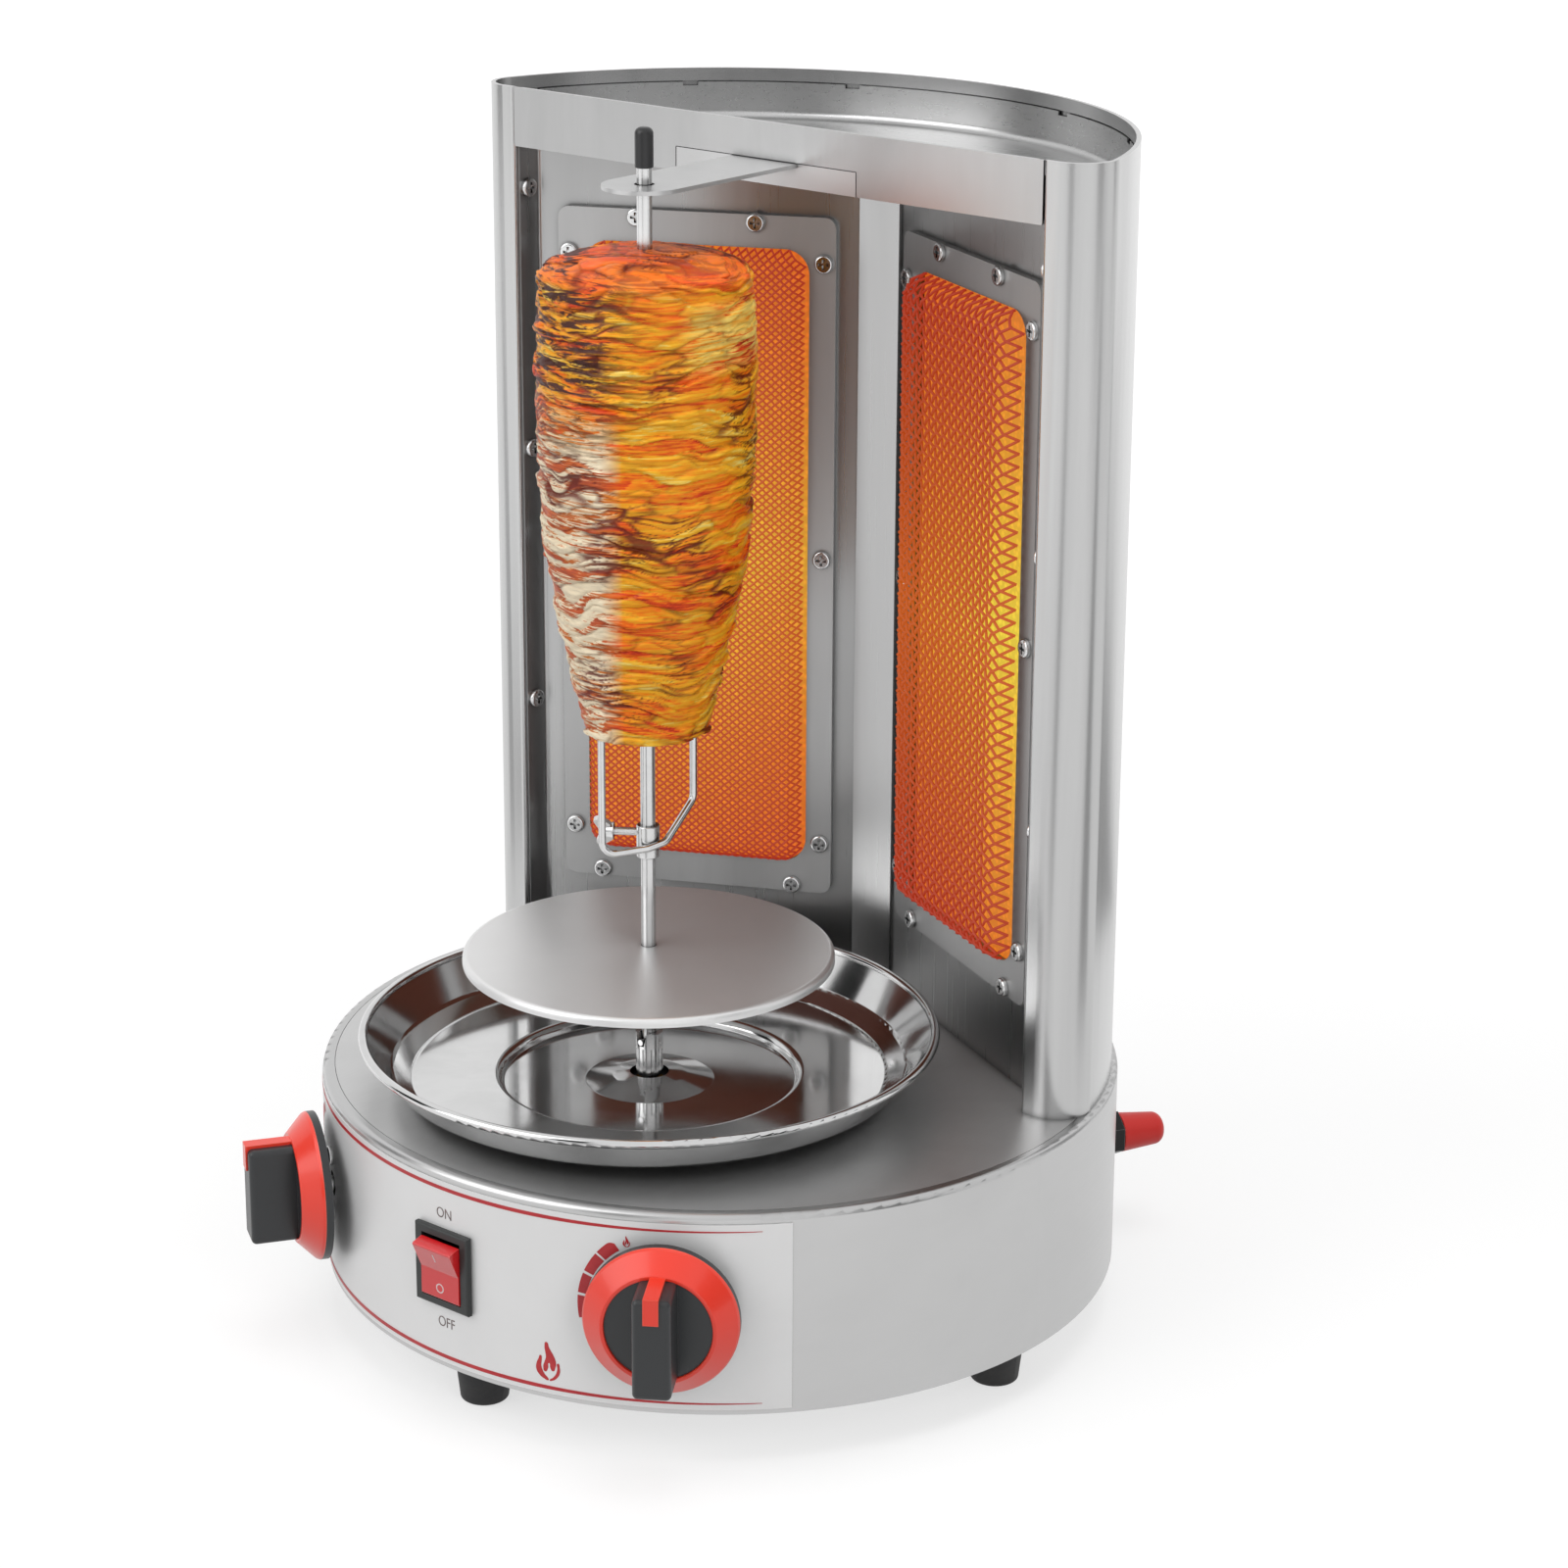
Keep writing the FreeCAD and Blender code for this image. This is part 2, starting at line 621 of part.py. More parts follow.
def valve_stem():
    stem = front_bar(STEM_R, -STEM_IN, STEM_OUT, z=KNOB_Z)
    flat = front_block(STEM_R, STEM_R, KNOB_STANDOFF, STEM_OUT + 1, z=KNOB_Z + 2 * STEM_R - STEM_FLAT)
    return stem.cut(flat)


def knob_pointer():
    """Red rib over the top of the grip and down its front."""
    top = KNOB_Z + GRIP_L / 2
    front = GRIP_K + POINTER_T * 0.3
    over = front_block(POINTER_W / 2, POINTER_T / 2, KNOB_HUB_K - 2, front, z=top)
    down = front_block(POINTER_W / 2, POINTER_REACH / 2, GRIP_K - POINTER_T * 0.7, front,
                       z=top + POINTER_T / 2 - POINTER_REACH / 2)
    return joined([over, down])


def knob_ring():
    """Red conical ring with the pointer moulded on."""
    back = KNOB_STANDOFF + KNOB_BACK_T
    inner = KNOB_HUB_R + RUN_FIT
    outline = [(inner, back), (KNOB_R, back), (KNOB_R - 0.6, back + 1.2), (inner + 1.4, back + KNOB_CONE_H),
               (inner, back + KNOB_CONE_H)]
    ring = upright_face(outline, [0, 0, 0, 0.6, 0.4]).revolve(Vec(0, 0, 0), Vec(0, 0, 1), 360)
    ring = aimed(ring, Vec(0, -LABEL_R, KNOB_Z), Vec(0, -1, 0))
    return joined([ring, knob_pointer()])


def knob_grip():
    """Black knob body: backing disc, face and grip bar in one moulding."""
    disc = front_bar(KNOB_R, KNOB_STANDOFF, KNOB_STANDOFF + KNOB_BACK_T, z=KNOB_Z)
    hub = front_bar(KNOB_HUB_R, KNOB_STANDOFF, KNOB_HUB_K, z=KNOB_Z)
    grip = front_block(GRIP_W / 2, GRIP_L / 2, KNOB_HUB_K - 1, GRIP_K, z=KNOB_Z)
    long_edges = [e for e in grip.Edges if abs(e.CenterOfMass.y + LABEL_R + GRIP_K) < 1e-6
                  or (abs(abs(e.CenterOfMass.x) - GRIP_W / 2) < 1e-6
                      and abs(abs(e.CenterOfMass.z - KNOB_Z) - GRIP_L / 2) < 1e-6)]
    grip = grip.makeFillet(GRIP_ROUND, long_edges)
    body = joined([disc, hub, grip])
    cavity = front_bar(STEM_R + RUN_FIT, KNOB_STANDOFF - 1, STEM_OUT + SLIP_FIT, z=KNOB_Z)
    flat = front_block(STEM_R + 1, STEM_R, KNOB_STANDOFF - 2, STEM_OUT + 1, z=KNOB_Z + 2 * STEM_R - STEM_FLAT + RUN_FIT)
    back = KNOB_STANDOFF + KNOB_BACK_T
    ring_room = front_bar(KNOB_R, back, back + KNOB_CONE_H + RUN_FIT, z=KNOB_Z)
    ring_room = ring_room.cut(front_bar(KNOB_HUB_R, back, back + KNOB_CONE_H + 1, z=KNOB_Z))
    return body.cut([cavity.cut(flat), knob_pointer(), ring_room])


def valve_screws():
    screw = pan_screw(LABEL_T + SHEET + 2 * VALVE_FLANGE_T)
    pieces = []
    for side in (-1, 1):
        for offset in (-VALVE_SCREW_Z, VALVE_SCREW_Z):
            placed = aimed(screw, Vec(0, -LABEL_R, KNOB_Z + offset), Vec(0, -1, 0))
            pieces.append(turned(placed, side * KNOB_DEG))
    return pieces


# Rocker switch
def bezel_back():
    """Flat back of the bezel, which touches the curved label at its middle."""
    return LABEL_R


def switch_pivot():
    """Distance of the rocker pivot from the drum axis."""
    return bezel_back() + BEZEL_T - ROCKER_RISE + 0.7


def switch_housing():
    bezel = front_block(BEZEL_W / 2, BEZEL_H / 2, 0, BEZEL_T, z=KNOB_Z, zero=bezel_back())
    front_edges = [e for e in bezel.Edges if abs(e.CenterOfMass.y + bezel_back() + BEZEL_T) < 1e-6]
    bezel = bezel.makeFillet(0.9, front_edges)
    half_w, half_h = WINDOW_W / 2, WINDOW_H / 2
    body = front_block(half_w + SWITCH_WALL, half_h + SWITCH_WALL, -SWITCH_DEPTH, 0.5, z=KNOB_Z, zero=bezel_back())
    tags = [block(x - TAG_W / 2, x + TAG_W / 2, -bezel_back() + SWITCH_DEPTH, -bezel_back() + SWITCH_DEPTH + TAG_L,
                  z - 0.4, z + 0.4)
            for x in (-TAG_W * 0.8, TAG_W * 0.8) for z in (KNOB_Z - TAG_L, KNOB_Z + TAG_L)]
    shape = joined([bezel, body] + tags)
    cavity = front_block(half_w, half_h, -SWITCH_DEPTH + 2 * SWITCH_WALL, BEZEL_T + 1, z=KNOB_Z, zero=bezel_back())
    reach = half_w + SWITCH_WALL
    pins = bar(Vec(-reach, -switch_pivot(), KNOB_Z), Vec(reach, -switch_pivot(), KNOB_Z), PIVOT_R + RUN_FIT)
    return shape.cut([cavity, pins])


def power_rocker():
    """Two-way rocker: two flat faces that meet at the pivot, with the lower one pressed in."""
    tilt = math.radians(ROCKER_TURN / 2)
    half_w = WINDOW_W / 2 - ROCKER_GAP
    end_v, end_u = ROCKER_ARM * math.cos(tilt), ROCKER_RISE + ROCKER_ARM * math.sin(tilt)
    heel = -ROCKER_RISE - 1.0
    section = [(0, ROCKER_RISE), (end_v, end_u), (ROCKER_ARM, 0.5), (ROCKER_ARM * 0.45, heel),
               (-ROCKER_ARM * 0.45, heel), (-ROCKER_ARM, 0.5), (-end_v, end_u)]
    wire = path_wire([Vec(-half_w, -u, v) for v, u in section], [0, 0.7, 0.7, 1.0, 1.0, 0.7, 0.7], True)
    rocker = Part.Face(wire).extrude(Vec(2 * half_w, 0, 0))
    reach = WINDOW_W / 2 + SWITCH_WALL * 0.7
    rocker = joined([rocker, bar(Vec(-reach, 0, 0), Vec(reach, 0, 0), PIVOT_R)])
    rocker.rotate(Vec(0, 0, 0), Vec(1, 0, 0), ROCKER_TURN / 2)
    rocker.translate(Vec(0, -switch_pivot(), KNOB_Z))
    return rocker


# Gas line
def gas_manifold():
    """Pipe from the inlet round the inside of the drum, with a riser to each valve."""
    sweep = INLET_DEG + KNOB_DEG
    ring = Part.makeTorus(MANIFOLD_R, PIPE_R, Vec(0, 0, MANIFOLD_Z), Vec(0, 0, 1), -180, 180, sweep)
    ring = turned(ring, -90 - KNOB_DEG)
    riser = cylinder(PIPE_R, KNOB_Z - VALVE_R - 3 - MANIFOLD_Z, 0, -MANIFOLD_R, MANIFOLD_Z)
    risers = [turned(riser, side * KNOB_DEG) for side in (-1, 1)]
    elbow = Part.makeSphere(ELBOW_R, Vec(0, -MANIFOLD_R, MANIFOLD_Z))
    stub = front_bar(PIPE_R, 0, nipple_inner() - MANIFOLD_R, z=MANIFOLD_Z, zero=MANIFOLD_R)
    ends = [turned(elbow, degrees) for degrees in (-KNOB_DEG, KNOB_DEG, INLET_DEG)] + [turned(stub, INLET_DEG)]
    return joined([ring] + risers + ends)


def nipple_inner():
    return DRUM_R - 3 * SHEET - 12


def gas_nipple():
    """Hose nipple through the drum wall with a collar inside and ribs outside."""
    tip = DRUM_R + CAP_START + CAP_L - CAP_WALL - 1
    body = front_bar(NIPPLE_R, nipple_inner(), tip, z=MANIFOLD_Z, zero=0)
    collar = front_bar(NUT_R, DRUM_R - SHEET - 3.3, DRUM_R - SHEET - 0.3, z=MANIFOLD_Z, zero=0)
    bore = front_bar(NIPPLE_BORE, nipple_inner() - 1, tip + 1, z=MANIFOLD_Z, zero=0)
    return turned(joined([body, collar]).cut(bore), INLET_DEG)


def inlet_nut():
    washer = front_bar(NUT_R, 0, WASHER_T, z=MANIFOLD_Z, zero=DRUM_R)
    points = [(NUT_R * 0.97 * math.cos(a), NUT_R * 0.97 * math.sin(a))
              for a in [math.radians(60 * index + 30) for index in range(6)]]
    nut = aimed(plan_solid(points, 0, NUT_L), Vec(0, -DRUM_R - WASHER_T, MANIFOLD_Z), Vec(0, -1, 0))
    bore = front_bar(NIPPLE_R, -1, CAP_START + 1, z=MANIFOLD_Z, zero=DRUM_R)
    return turned(joined([washer, nut]).cut(bore), INLET_DEG)


def inlet_cap():
    """Soft cap over the nipple, rounded at its end."""
    outline = [(NIPPLE_R + RUN_FIT, 0), (CAP_R, 0), (CAP_R - CAP_TAPER, CAP_L), (0, CAP_L),
               (0, CAP_L - CAP_WALL), (NIPPLE_R + RUN_FIT, CAP_L - CAP_WALL)]
    cap = spun(outline, [0, 0.5, CAP_ROUND, 0, 0, 0])
    cap = aimed(cap, Vec(0, -DRUM_R - CAP_START - BODY_GAP, MANIFOLD_Z), Vec(0, -1, 0))
    return turned(cap, INLET_DEG)


def tube_place():
    """Axis of the right mixing tube, in the middle of the burner box."""
    back = (gasket_back() + PANEL_T + BOX_DEPTH) / 2
    angle = math.radians(PANEL_DEG)
    return PANEL_MID_X + back * math.sin(angle), PANEL_MID_Y + back * math.cos(angle)


def feed_pipe():
    """Pipe from the right valve to the injector below the deck."""
    angle = math.radians(KNOB_DEG)
    out = Vec(math.sin(angle), -math.cos(angle), 0)
    x, y = tube_place()
    start = out * (LABEL_R - VALVE_DEPTH - RUN_FIT) + Vec(0, 0, KNOB_Z)
    first = out * (LABEL_R - VALVE_DEPTH - FEED_STUB) + Vec(0, 0, KNOB_Z)
    points = [start, first, Vec(x, y, KNOB_Z), Vec(x, y, injector_low())]
    return pipe(points, FEED_R, FEED_BEND)


def injector_low():
    return DECK_Z - DECK_T - INJECTOR_NUT_H


def injectors():
    x, y = tube_place()
    pieces = []
    for side in (-1, 1):
        nut = cylinder(INJECTOR_NUT_R, INJECTOR_NUT_H, side * x, y, injector_low())
        top = spun([(0, DECK_Z - DECK_T), (INJECTOR_R, DECK_Z - DECK_T), (INJECTOR_R, DECK_Z + INJECTOR_TIP * 0.6),
                    (INJECTOR_R * 0.5, DECK_Z + INJECTOR_TIP), (0, DECK_Z + INJECTOR_TIP)], x=side * x, y=y)
        jet = cylinder(0.8, 2 * INJECTOR_TIP, side * x, y, DECK_Z)
        pieces.append(joined([nut, top]).cut(jet))
    return pieces


def mixing_tubes():
    """Tube from above each injector up into the burner box, with air ports and a foot on the deck."""
    x, y = tube_place()
    top = FRAME_MID_Z - BOX_HALF_H + GASKET_W - BOX_T
    outline = [(TUBE_R - TUBE_WALL, DECK_Z), (TUBE_FOOT_R, DECK_Z), (TUBE_FOOT_R, DECK_Z + TUBE_WALL),
               (TUBE_R, DECK_Z + TUBE_WALL), (TUBE_R, top), (TUBE_R - TUBE_WALL, top)]
    tube = spun(outline, x=x, y=y)
    port_z = DECK_Z + AIR_PORT_Z
    tube = tube.cut(bar(Vec(x - 2 * TUBE_R, y, port_z), Vec(x + 2 * TUBE_R, y, port_z), AIR_PORT_R))
    return both_sides(tube)


# Mains entry and inner wiring
def cord_gland():
    """Bush for the mains cord, with its flange on the drum wall."""
    flange = front_bar(GLAND_FLANGE_R, 0, 3, z=MANIFOLD_Z, zero=DRUM_R)
    barrel = front_bar(GLAND_R, -GLAND_IN, 3, z=MANIFOLD_Z, zero=DRUM_R)
    nose = Part.makeCone(GLAND_R, GLAND_BORE + 1.2, GLAND_OUT - 3, Vec(0, -DRUM_R - 3, MANIFOLD_Z), Vec(0, -1, 0))
    lock = front_bar(GLAND_FLANGE_R - 1, -SHEET - 3.4, -SHEET - 0.4, z=MANIFOLD_Z, zero=DRUM_R)
    bore = front_bar(GLAND_BORE, -GLAND_IN - 1, GLAND_OUT + 1, z=MANIFOLD_Z, zero=DRUM_R)
    return turned(joined([flange, barrel, nose, lock]).cut(bore), GLAND_DEG)


def wiring():
    """Leads from the gland to the switch and from the switch to the motor."""
    angle = math.radians(GLAND_DEG)
    out = Vec(math.sin(angle), -math.cos(angle), 0)
    tag_y = -(bezel_back() - SWITCH_DEPTH - TAG_L) + 3 * BODY_GAP
    tag_x, tag_z = TAG_W * 0.8, KNOB_Z - TAG_L
    mains = [out * (DRUM_R - GLAND_IN) + Vec(0, 0, MANIFOLD_Z), out * (MANIFOLD_R - LEAD_INSET) + Vec(0, 0, MANIFOLD_Z)]
    for degrees, inset, rise in LEAD_PLACES:
        turn = math.radians(degrees)
        mains.append(Vec(math.sin(turn), -math.cos(turn), 0) * (MANIFOLD_R - inset) + Vec(0, 0, MANIFOLD_Z + rise))
    mains += [Vec(-tag_x - LEAD_SLACK, tag_y + LEAD_RUN, tag_z), Vec(-tag_x, tag_y, tag_z)]
    motor_z = motor_top() - GEARBOX_H - MOTOR_H / 2
    entry = SPIT_Y - math.sqrt(MOTOR_R ** 2 - LEAD_SIDE ** 2)
    lead = [Vec(tag_x, tag_y, tag_z), Vec(tag_x + 0.75 * LEAD_SLACK, tag_y + LEAD_RUN, tag_z - LEAD_SLACK / 2),
            Vec(LEAD_SIDE + LEAD_SLACK, SPIT_Y - MOTOR_R - 0.75 * LEAD_SLACK, motor_z), Vec(LEAD_SIDE, entry, motor_z)]
    return [pipe(mains, WIRE_R, LEAD_BEND), pipe(lead, WIRE_R, MOTOR_LEAD_BEND)]


# Drive
def motor_top():
    """Underside of the motor bracket, where the gearbox hangs."""
    return DECK_Z - DECK_T - MOTOR_DROP - BRACKET_T


def bracket_screw_places():
    x = BRACKET_SPAN / 2 + BRACKET_FOOT / 2
    return [(side * x, SPIT_Y + end * BRACKET_W / 4) for side in (-1, 1) for end in (-1, 1)]


def motor_bracket():
    """Hat-shaped bracket below the deck."""
    under = DECK_Z - DECK_T
    low = motor_top()
    half = BRACKET_SPAN / 2
    path = [(-half - BRACKET_FOOT, under - BRACKET_T), (-half, under - BRACKET_T), (-half, low), (half, low),
            (half, under - BRACKET_T), (half + BRACKET_FOOT, under - BRACKET_T)]
    outline, radii = sheet_outline(path, [0] * len(path), BRACKET_T)
    face = upright_face(outline, radii)
    face.translate(Vec(0, SPIT_Y - BRACKET_W / 2, 0))
    hat = face.extrude(Vec(0, BRACKET_W, 0))
    cuts = [cylinder(BUSH_FLANGE_R, 4 * BRACKET_T, 0, SPIT_Y, low - BRACKET_T)]
    cuts += [cylinder(SCREW_R, 3 * BRACKET_T, x, y, under - 2 * BRACKET_T) for x, y in bracket_screw_places()]
    cuts += [cylinder(SCREW_R + SLIP_FIT, 4 * BRACKET_T, side * MOTOR_SCREW_X, SPIT_Y, low - BRACKET_T)
             for side in (-1, 1)]
    return hat.cut(cuts)


def motor_gearbox():
    low = motor_top() - GEARBOX_H
    box = spun([(0, low), (MOTOR_R, low), (MOTOR_R, low + GEARBOX_H), (0, low + GEARBOX_H)], [0, 1.5, 1.5, 0],
               y=SPIT_Y)
    cuts = [cylinder(SHAFT_R + RUN_FIT, GEARBOX_H, 0, SPIT_Y, low + 4)]
    cuts += [cylinder(SCREW_R, 6, side * MOTOR_SCREW_X, SPIT_Y, low + GEARBOX_H - 6) for side in (-1, 1)]
    return box.cut(cuts)


def motor_case():
    high = motor_top() - GEARBOX_H
    return spun([(0, high - MOTOR_H), (MOTOR_R - 1, high - MOTOR_H), (MOTOR_R - 1, high), (0, high)], [0, 3, 0, 0],
                y=SPIT_Y)


def motor_screws():
    pieces = [aimed(pan_screw(DECK_T + BRACKET_T + 3), Vec(x, y, DECK_Z), Vec(0, 0, 1))
              for x, y in bracket_screw_places()]
    pieces += [aimed(pan_screw(BRACKET_T + 5), Vec(side * MOTOR_SCREW_X, SPIT_Y, motor_top() + BRACKET_T), Vec(0, 0, 1))
               for side in (-1, 1)]
    return pieces


def drive_bush():
    """Flanged bearing bush, pressed up into the deck."""
    under = DECK_Z - DECK_T
    inner = SHAFT_R + RUN_FIT
    return spun([(inner, under - BUSH_FLANGE_T), (BUSH_FLANGE_R, under - BUSH_FLANGE_T), (BUSH_FLANGE_R, under),
                 (BUSH_R, under), (BUSH_R, DECK_Z + 0.8), (inner, DECK_Z + 0.8)], y=SPIT_Y)


def output_shaft():
    low = motor_top() - GEARBOX_H + 5
    return cylinder(SHAFT_R, SOCKET_Z + 4.5 - low, 0, SPIT_Y, low)


def drive_socket():
    """Fluted cup on the motor shaft: a bore and two slots take the end of the rod and its cross pin."""
    cup = cylinder(SOCKET_R, SOCKET_TOP - SOCKET_Z, 0, SPIT_Y, SOCKET_Z)
    cuts = [cylinder(SHAFT_R, 4.5, 0, SPIT_Y, SOCKET_Z),
            cylinder(ROD_R + SLIP_FIT, SOCKET_DEPTH + 1, 0, SPIT_Y, SOCKET_TOP - SOCKET_DEPTH)]
    slot_low = SOCKET_TOP - SOCKET_SLOT_H
    half = SOCKET_SLOT_W / 2
    slot = upright_face([(-half, slot_low), (half, slot_low), (half * 1.8, SOCKET_TOP + 1),
                         (-half * 1.8, SOCKET_TOP + 1)])
    slot.translate(Vec(0, SPIT_Y - 2 * SOCKET_R, 0))
    cuts.append(slot.extrude(Vec(0, 4 * SOCKET_R, 0)))
    flute_top = SOCKET_TOP - SOCKET_SLOT_H - 1
    for x, y in ring_points(SOCKET_FLUTES, SOCKET_R + FLUTE_R * 0.45, 360 / SOCKET_FLUTES / 2):
        cuts.append(cylinder(FLUTE_R, flute_top - SOCKET_Z, x, SPIT_Y + y, SOCKET_Z))
    return cup.cut(cuts)


# Spit
def spit_rod():
    """Straight rod with a cross pin at its foot and a reduced end for the tip."""
    low = SOCKET_TOP - SOCKET_DEPTH + BODY_GAP
    rod = cylinder(ROD_R, ROD_TOP - low, 0, SPIT_Y, low)
    rod = rod.makeChamfer(0.8, [e for e in rod.Edges if abs(e.CenterOfMass.z - ROD_TOP) < 1e-6])
    pin_z = SOCKET_TOP - SOCKET_SLOT_H + PIN_R + BODY_GAP
    pin = bar(Vec(0, SPIT_Y - SOCKET_R, pin_z), Vec(0, SPIT_Y + SOCKET_R, pin_z), PIN_R)
    return joined([rod, pin])


def tip_cap():
    outer = ROD_R + TIP_WALL
    top = ROD_TOP + TIP_CROWN
    return spun([(ROD_R, TIP_Z), (outer, TIP_Z), (outer, top), (0, top), (0, ROD_TOP), (ROD_R - 0.8, ROD_TOP),
                 (ROD_R, ROD_TOP - 0.8)], [0, 0.3, outer * 0.7, 0, 0, 0, 0], y=SPIT_Y)


def fat_disc():
    """Dished disc that keeps fat off the drive."""
    high = DISC_Z + DISC_RISE
    path = [(DISC_R, DISC_Z - DISC_LIP), (DISC_R, DISC_Z + DISC_T), (ROD_R + SLIP_FIT, high + DISC_T)]
    outline, radii = sheet_outline(path, [0, 2.0, 0], DISC_T)
    return spun(outline, radii, y=SPIT_Y)


def disc_collar():
    """Collar with a set screw that holds the disc on the rod."""
    top = DISC_Z + DISC_RISE - BODY_GAP
    collar = spun([(ROD_R, top - HUB_H), (HUB_R, top - HUB_H), (HUB_R, top), (ROD_R, top)], [0, 0.6, 0, 0], y=SPIT_Y)
    z = top - HUB_H / 2
    screw = bar(Vec(ROD_R, SPIT_Y, z), Vec(HUB_R + 1.2, SPIT_Y, z), HUB_SCREW_R)
    return joined([collar, screw])


def meat_stack():
    """Stacked slices: wide above the middle, narrow at the foot, with a domed top."""
    count = len(MEAT_RADII)
    rise = (MEAT_TOP - MEAT_BASE) * 0.95
    side = [Vec(radius, 0, MEAT_BASE + rise * index / (count - 1)) for index, radius in enumerate(MEAT_RADII)]
    top = Vec(0, 0, MEAT_TOP)
    curve = Part.BSplineCurve()
    curve.interpolate(side)
    crown = Part.LineSegment(side[-1], top).toShape()
    foot = Part.LineSegment(Vec(0, 0, MEAT_BASE), side[0]).toShape()
    axis = Part.LineSegment(top, Vec(0, 0, MEAT_BASE)).toShape()
    body = Part.Face(Part.Wire([foot, curve.toShape(), crown, axis]))
    body = body.revolve(Vec(0, 0, 0), Vec(0, 0, 1), 360)
    body.translate(Vec(0, SPIT_Y, 0))
    cuts = [cylinder(ROD_R + MEAT_BORE_GAP, MEAT_TOP, 0, SPIT_Y, MEAT_BASE - 1)]
    cuts += [cylinder(PRONG_R + MEAT_BORE_GAP, PRONG_TOP - MEAT_BASE + 2, x, y, MEAT_BASE - 1)
             for x, y in prong_places()]
    return body.cut(cuts)


# Fork
def prong_places():
    angle = math.radians(PRONG_DEG)
    x, y = PRONG_REACH * math.cos(angle), PRONG_REACH * math.sin(angle)
    return [(-x, SPIT_Y - y), (x, SPIT_Y + y)]


def meat_fork():
    """Collar on the rod with a bent wire that ends in two prongs."""
    collar = spun([(ROD_R + RUN_FIT, COLLAR_Z), (COLLAR_R, COLLAR_Z), (COLLAR_R, COLLAR_Z + COLLAR_H),
                   (ROD_R + RUN_FIT, COLLAR_Z + COLLAR_H)], [0, 0.4, 0.4, 0], y=SPIT_Y)
    angle = math.radians(PRONG_DEG)
    along = Vec(math.cos(angle), math.sin(angle), 0)
    beside = Vec(math.sin(angle), -math.cos(angle), 0)
    axis = Vec(0, SPIT_Y, 0)
    touch = COLLAR_R + PRONG_R - 0.5
    near, far = [Vec(x, y, 0) for x, y in prong_places()]
    up = Vec(0, 0, 1)
    run_start = axis + beside * touch - along * (COLLAR_R * 0.6) + up * (PRONG_FOOT + 2)
    run_end = axis + beside * touch + along * (COLLAR_R * 1.1) + up * (PRONG_FOOT + 3.5)
    wire = [near + up * PRONG_TOP, near + up * PRONG_FOOT, run_start, run_end, far + up * PRONG_ELBOW,
            far + up * PRONG_TOP]
    prongs = pipe(wire, PRONG_R, PRONG_BEND)
    hole = bar(thumb_point(0), thumb_point(THUMB_START), THUMB_R + RUN_FIT)
    bore = cylinder(ROD_R + RUN_FIT, COLLAR_H * 2, 0, SPIT_Y, COLLAR_Z - 1)
    return joined([collar, prongs]).cut([hole, bore])


def thumb_point(reach):
    angle = math.radians(THUMB_DEG)
    return Vec(reach * math.cos(angle), SPIT_Y + reach * math.sin(angle), THUMB_Z)


def thumb_screw():
    """Wing screw that clamps the collar: built along +Z and aimed out of the collar."""
    start = ROD_R + 0.2
    shank = cylinder(THUMB_R, THUMB_START - start + 1, z=start)
    hub = Part.makeCone(THUMB_HUB_R, THUMB_HUB_R * 0.7, THUMB_HUB_L, Vec(0, 0, THUMB_START))
    base, tip = THUMB_START + 0.6, THUMB_START + THUMB_HUB_L + WING_LEAN
    outline = [(0, base), (WING_R * 0.6, base + 0.4), (WING_R, tip - 2.5), (WING_R * 0.86, tip),
               (WING_R * 0.5, tip - 1.2), (0, THUMB_START + THUMB_HUB_L - 0.6)]
    wing = upright_face(outline, [0, 1.0, 1.4, 1.4, 1.2, 0])
    wing.translate(Vec(0, -WING_T / 2, 0))
    wing = wing.extrude(Vec(0, WING_T, 0))
    other = wing.mirror(Vec(0, 0, 0), Vec(1, 0, 0))
    piece = joined([shank, hub, wing, other])
    piece.rotate(Vec(0, 0, 0), Vec(0, 0, 1), 90)
    outwards = thumb_point(1).sub(thumb_point(0))
    return aimed(piece, thumb_point(0), outwards)


# Drip tray
def drip_tray():
    """Pressed dish: rolled rim, sloping wall, flat floor, sunken well and a low dome round the drive."""
    low = DECK_Z + TRAY_LIFT
    t = TRAY_T
    neck = TRAY_RIM_R - 2 * TRAY_BEAD
    path = [(DOME_HOLE_R, low + DOME_H), (DOME_R * 0.55, low + DOME_H * 0.75), (DOME_R, low), (TRAY_WELL_R, low),
            (TRAY_WELL_R + 1.2, TRAY_STEP_Z - t), (TRAY_FLOOR_R, TRAY_STEP_Z - t), (TRAY_FOOT_R, TRAY_FOOT_Z),
            (neck + TRAY_BEAD, TRAY_RIM_Z)]
    outline, radii = sheet_outline(path, [0, DOME_BEND, 3, 1.2, 2.2, 4, 5, 0], t)
    dish = spun(outline, radii, y=SPIT_Y)
    bead = Part.makeTorus(TRAY_RIM_R - TRAY_BEAD, TRAY_BEAD, Vec(0, SPIT_Y, TRAY_RIM_Z))
    return joined([dish, bead])


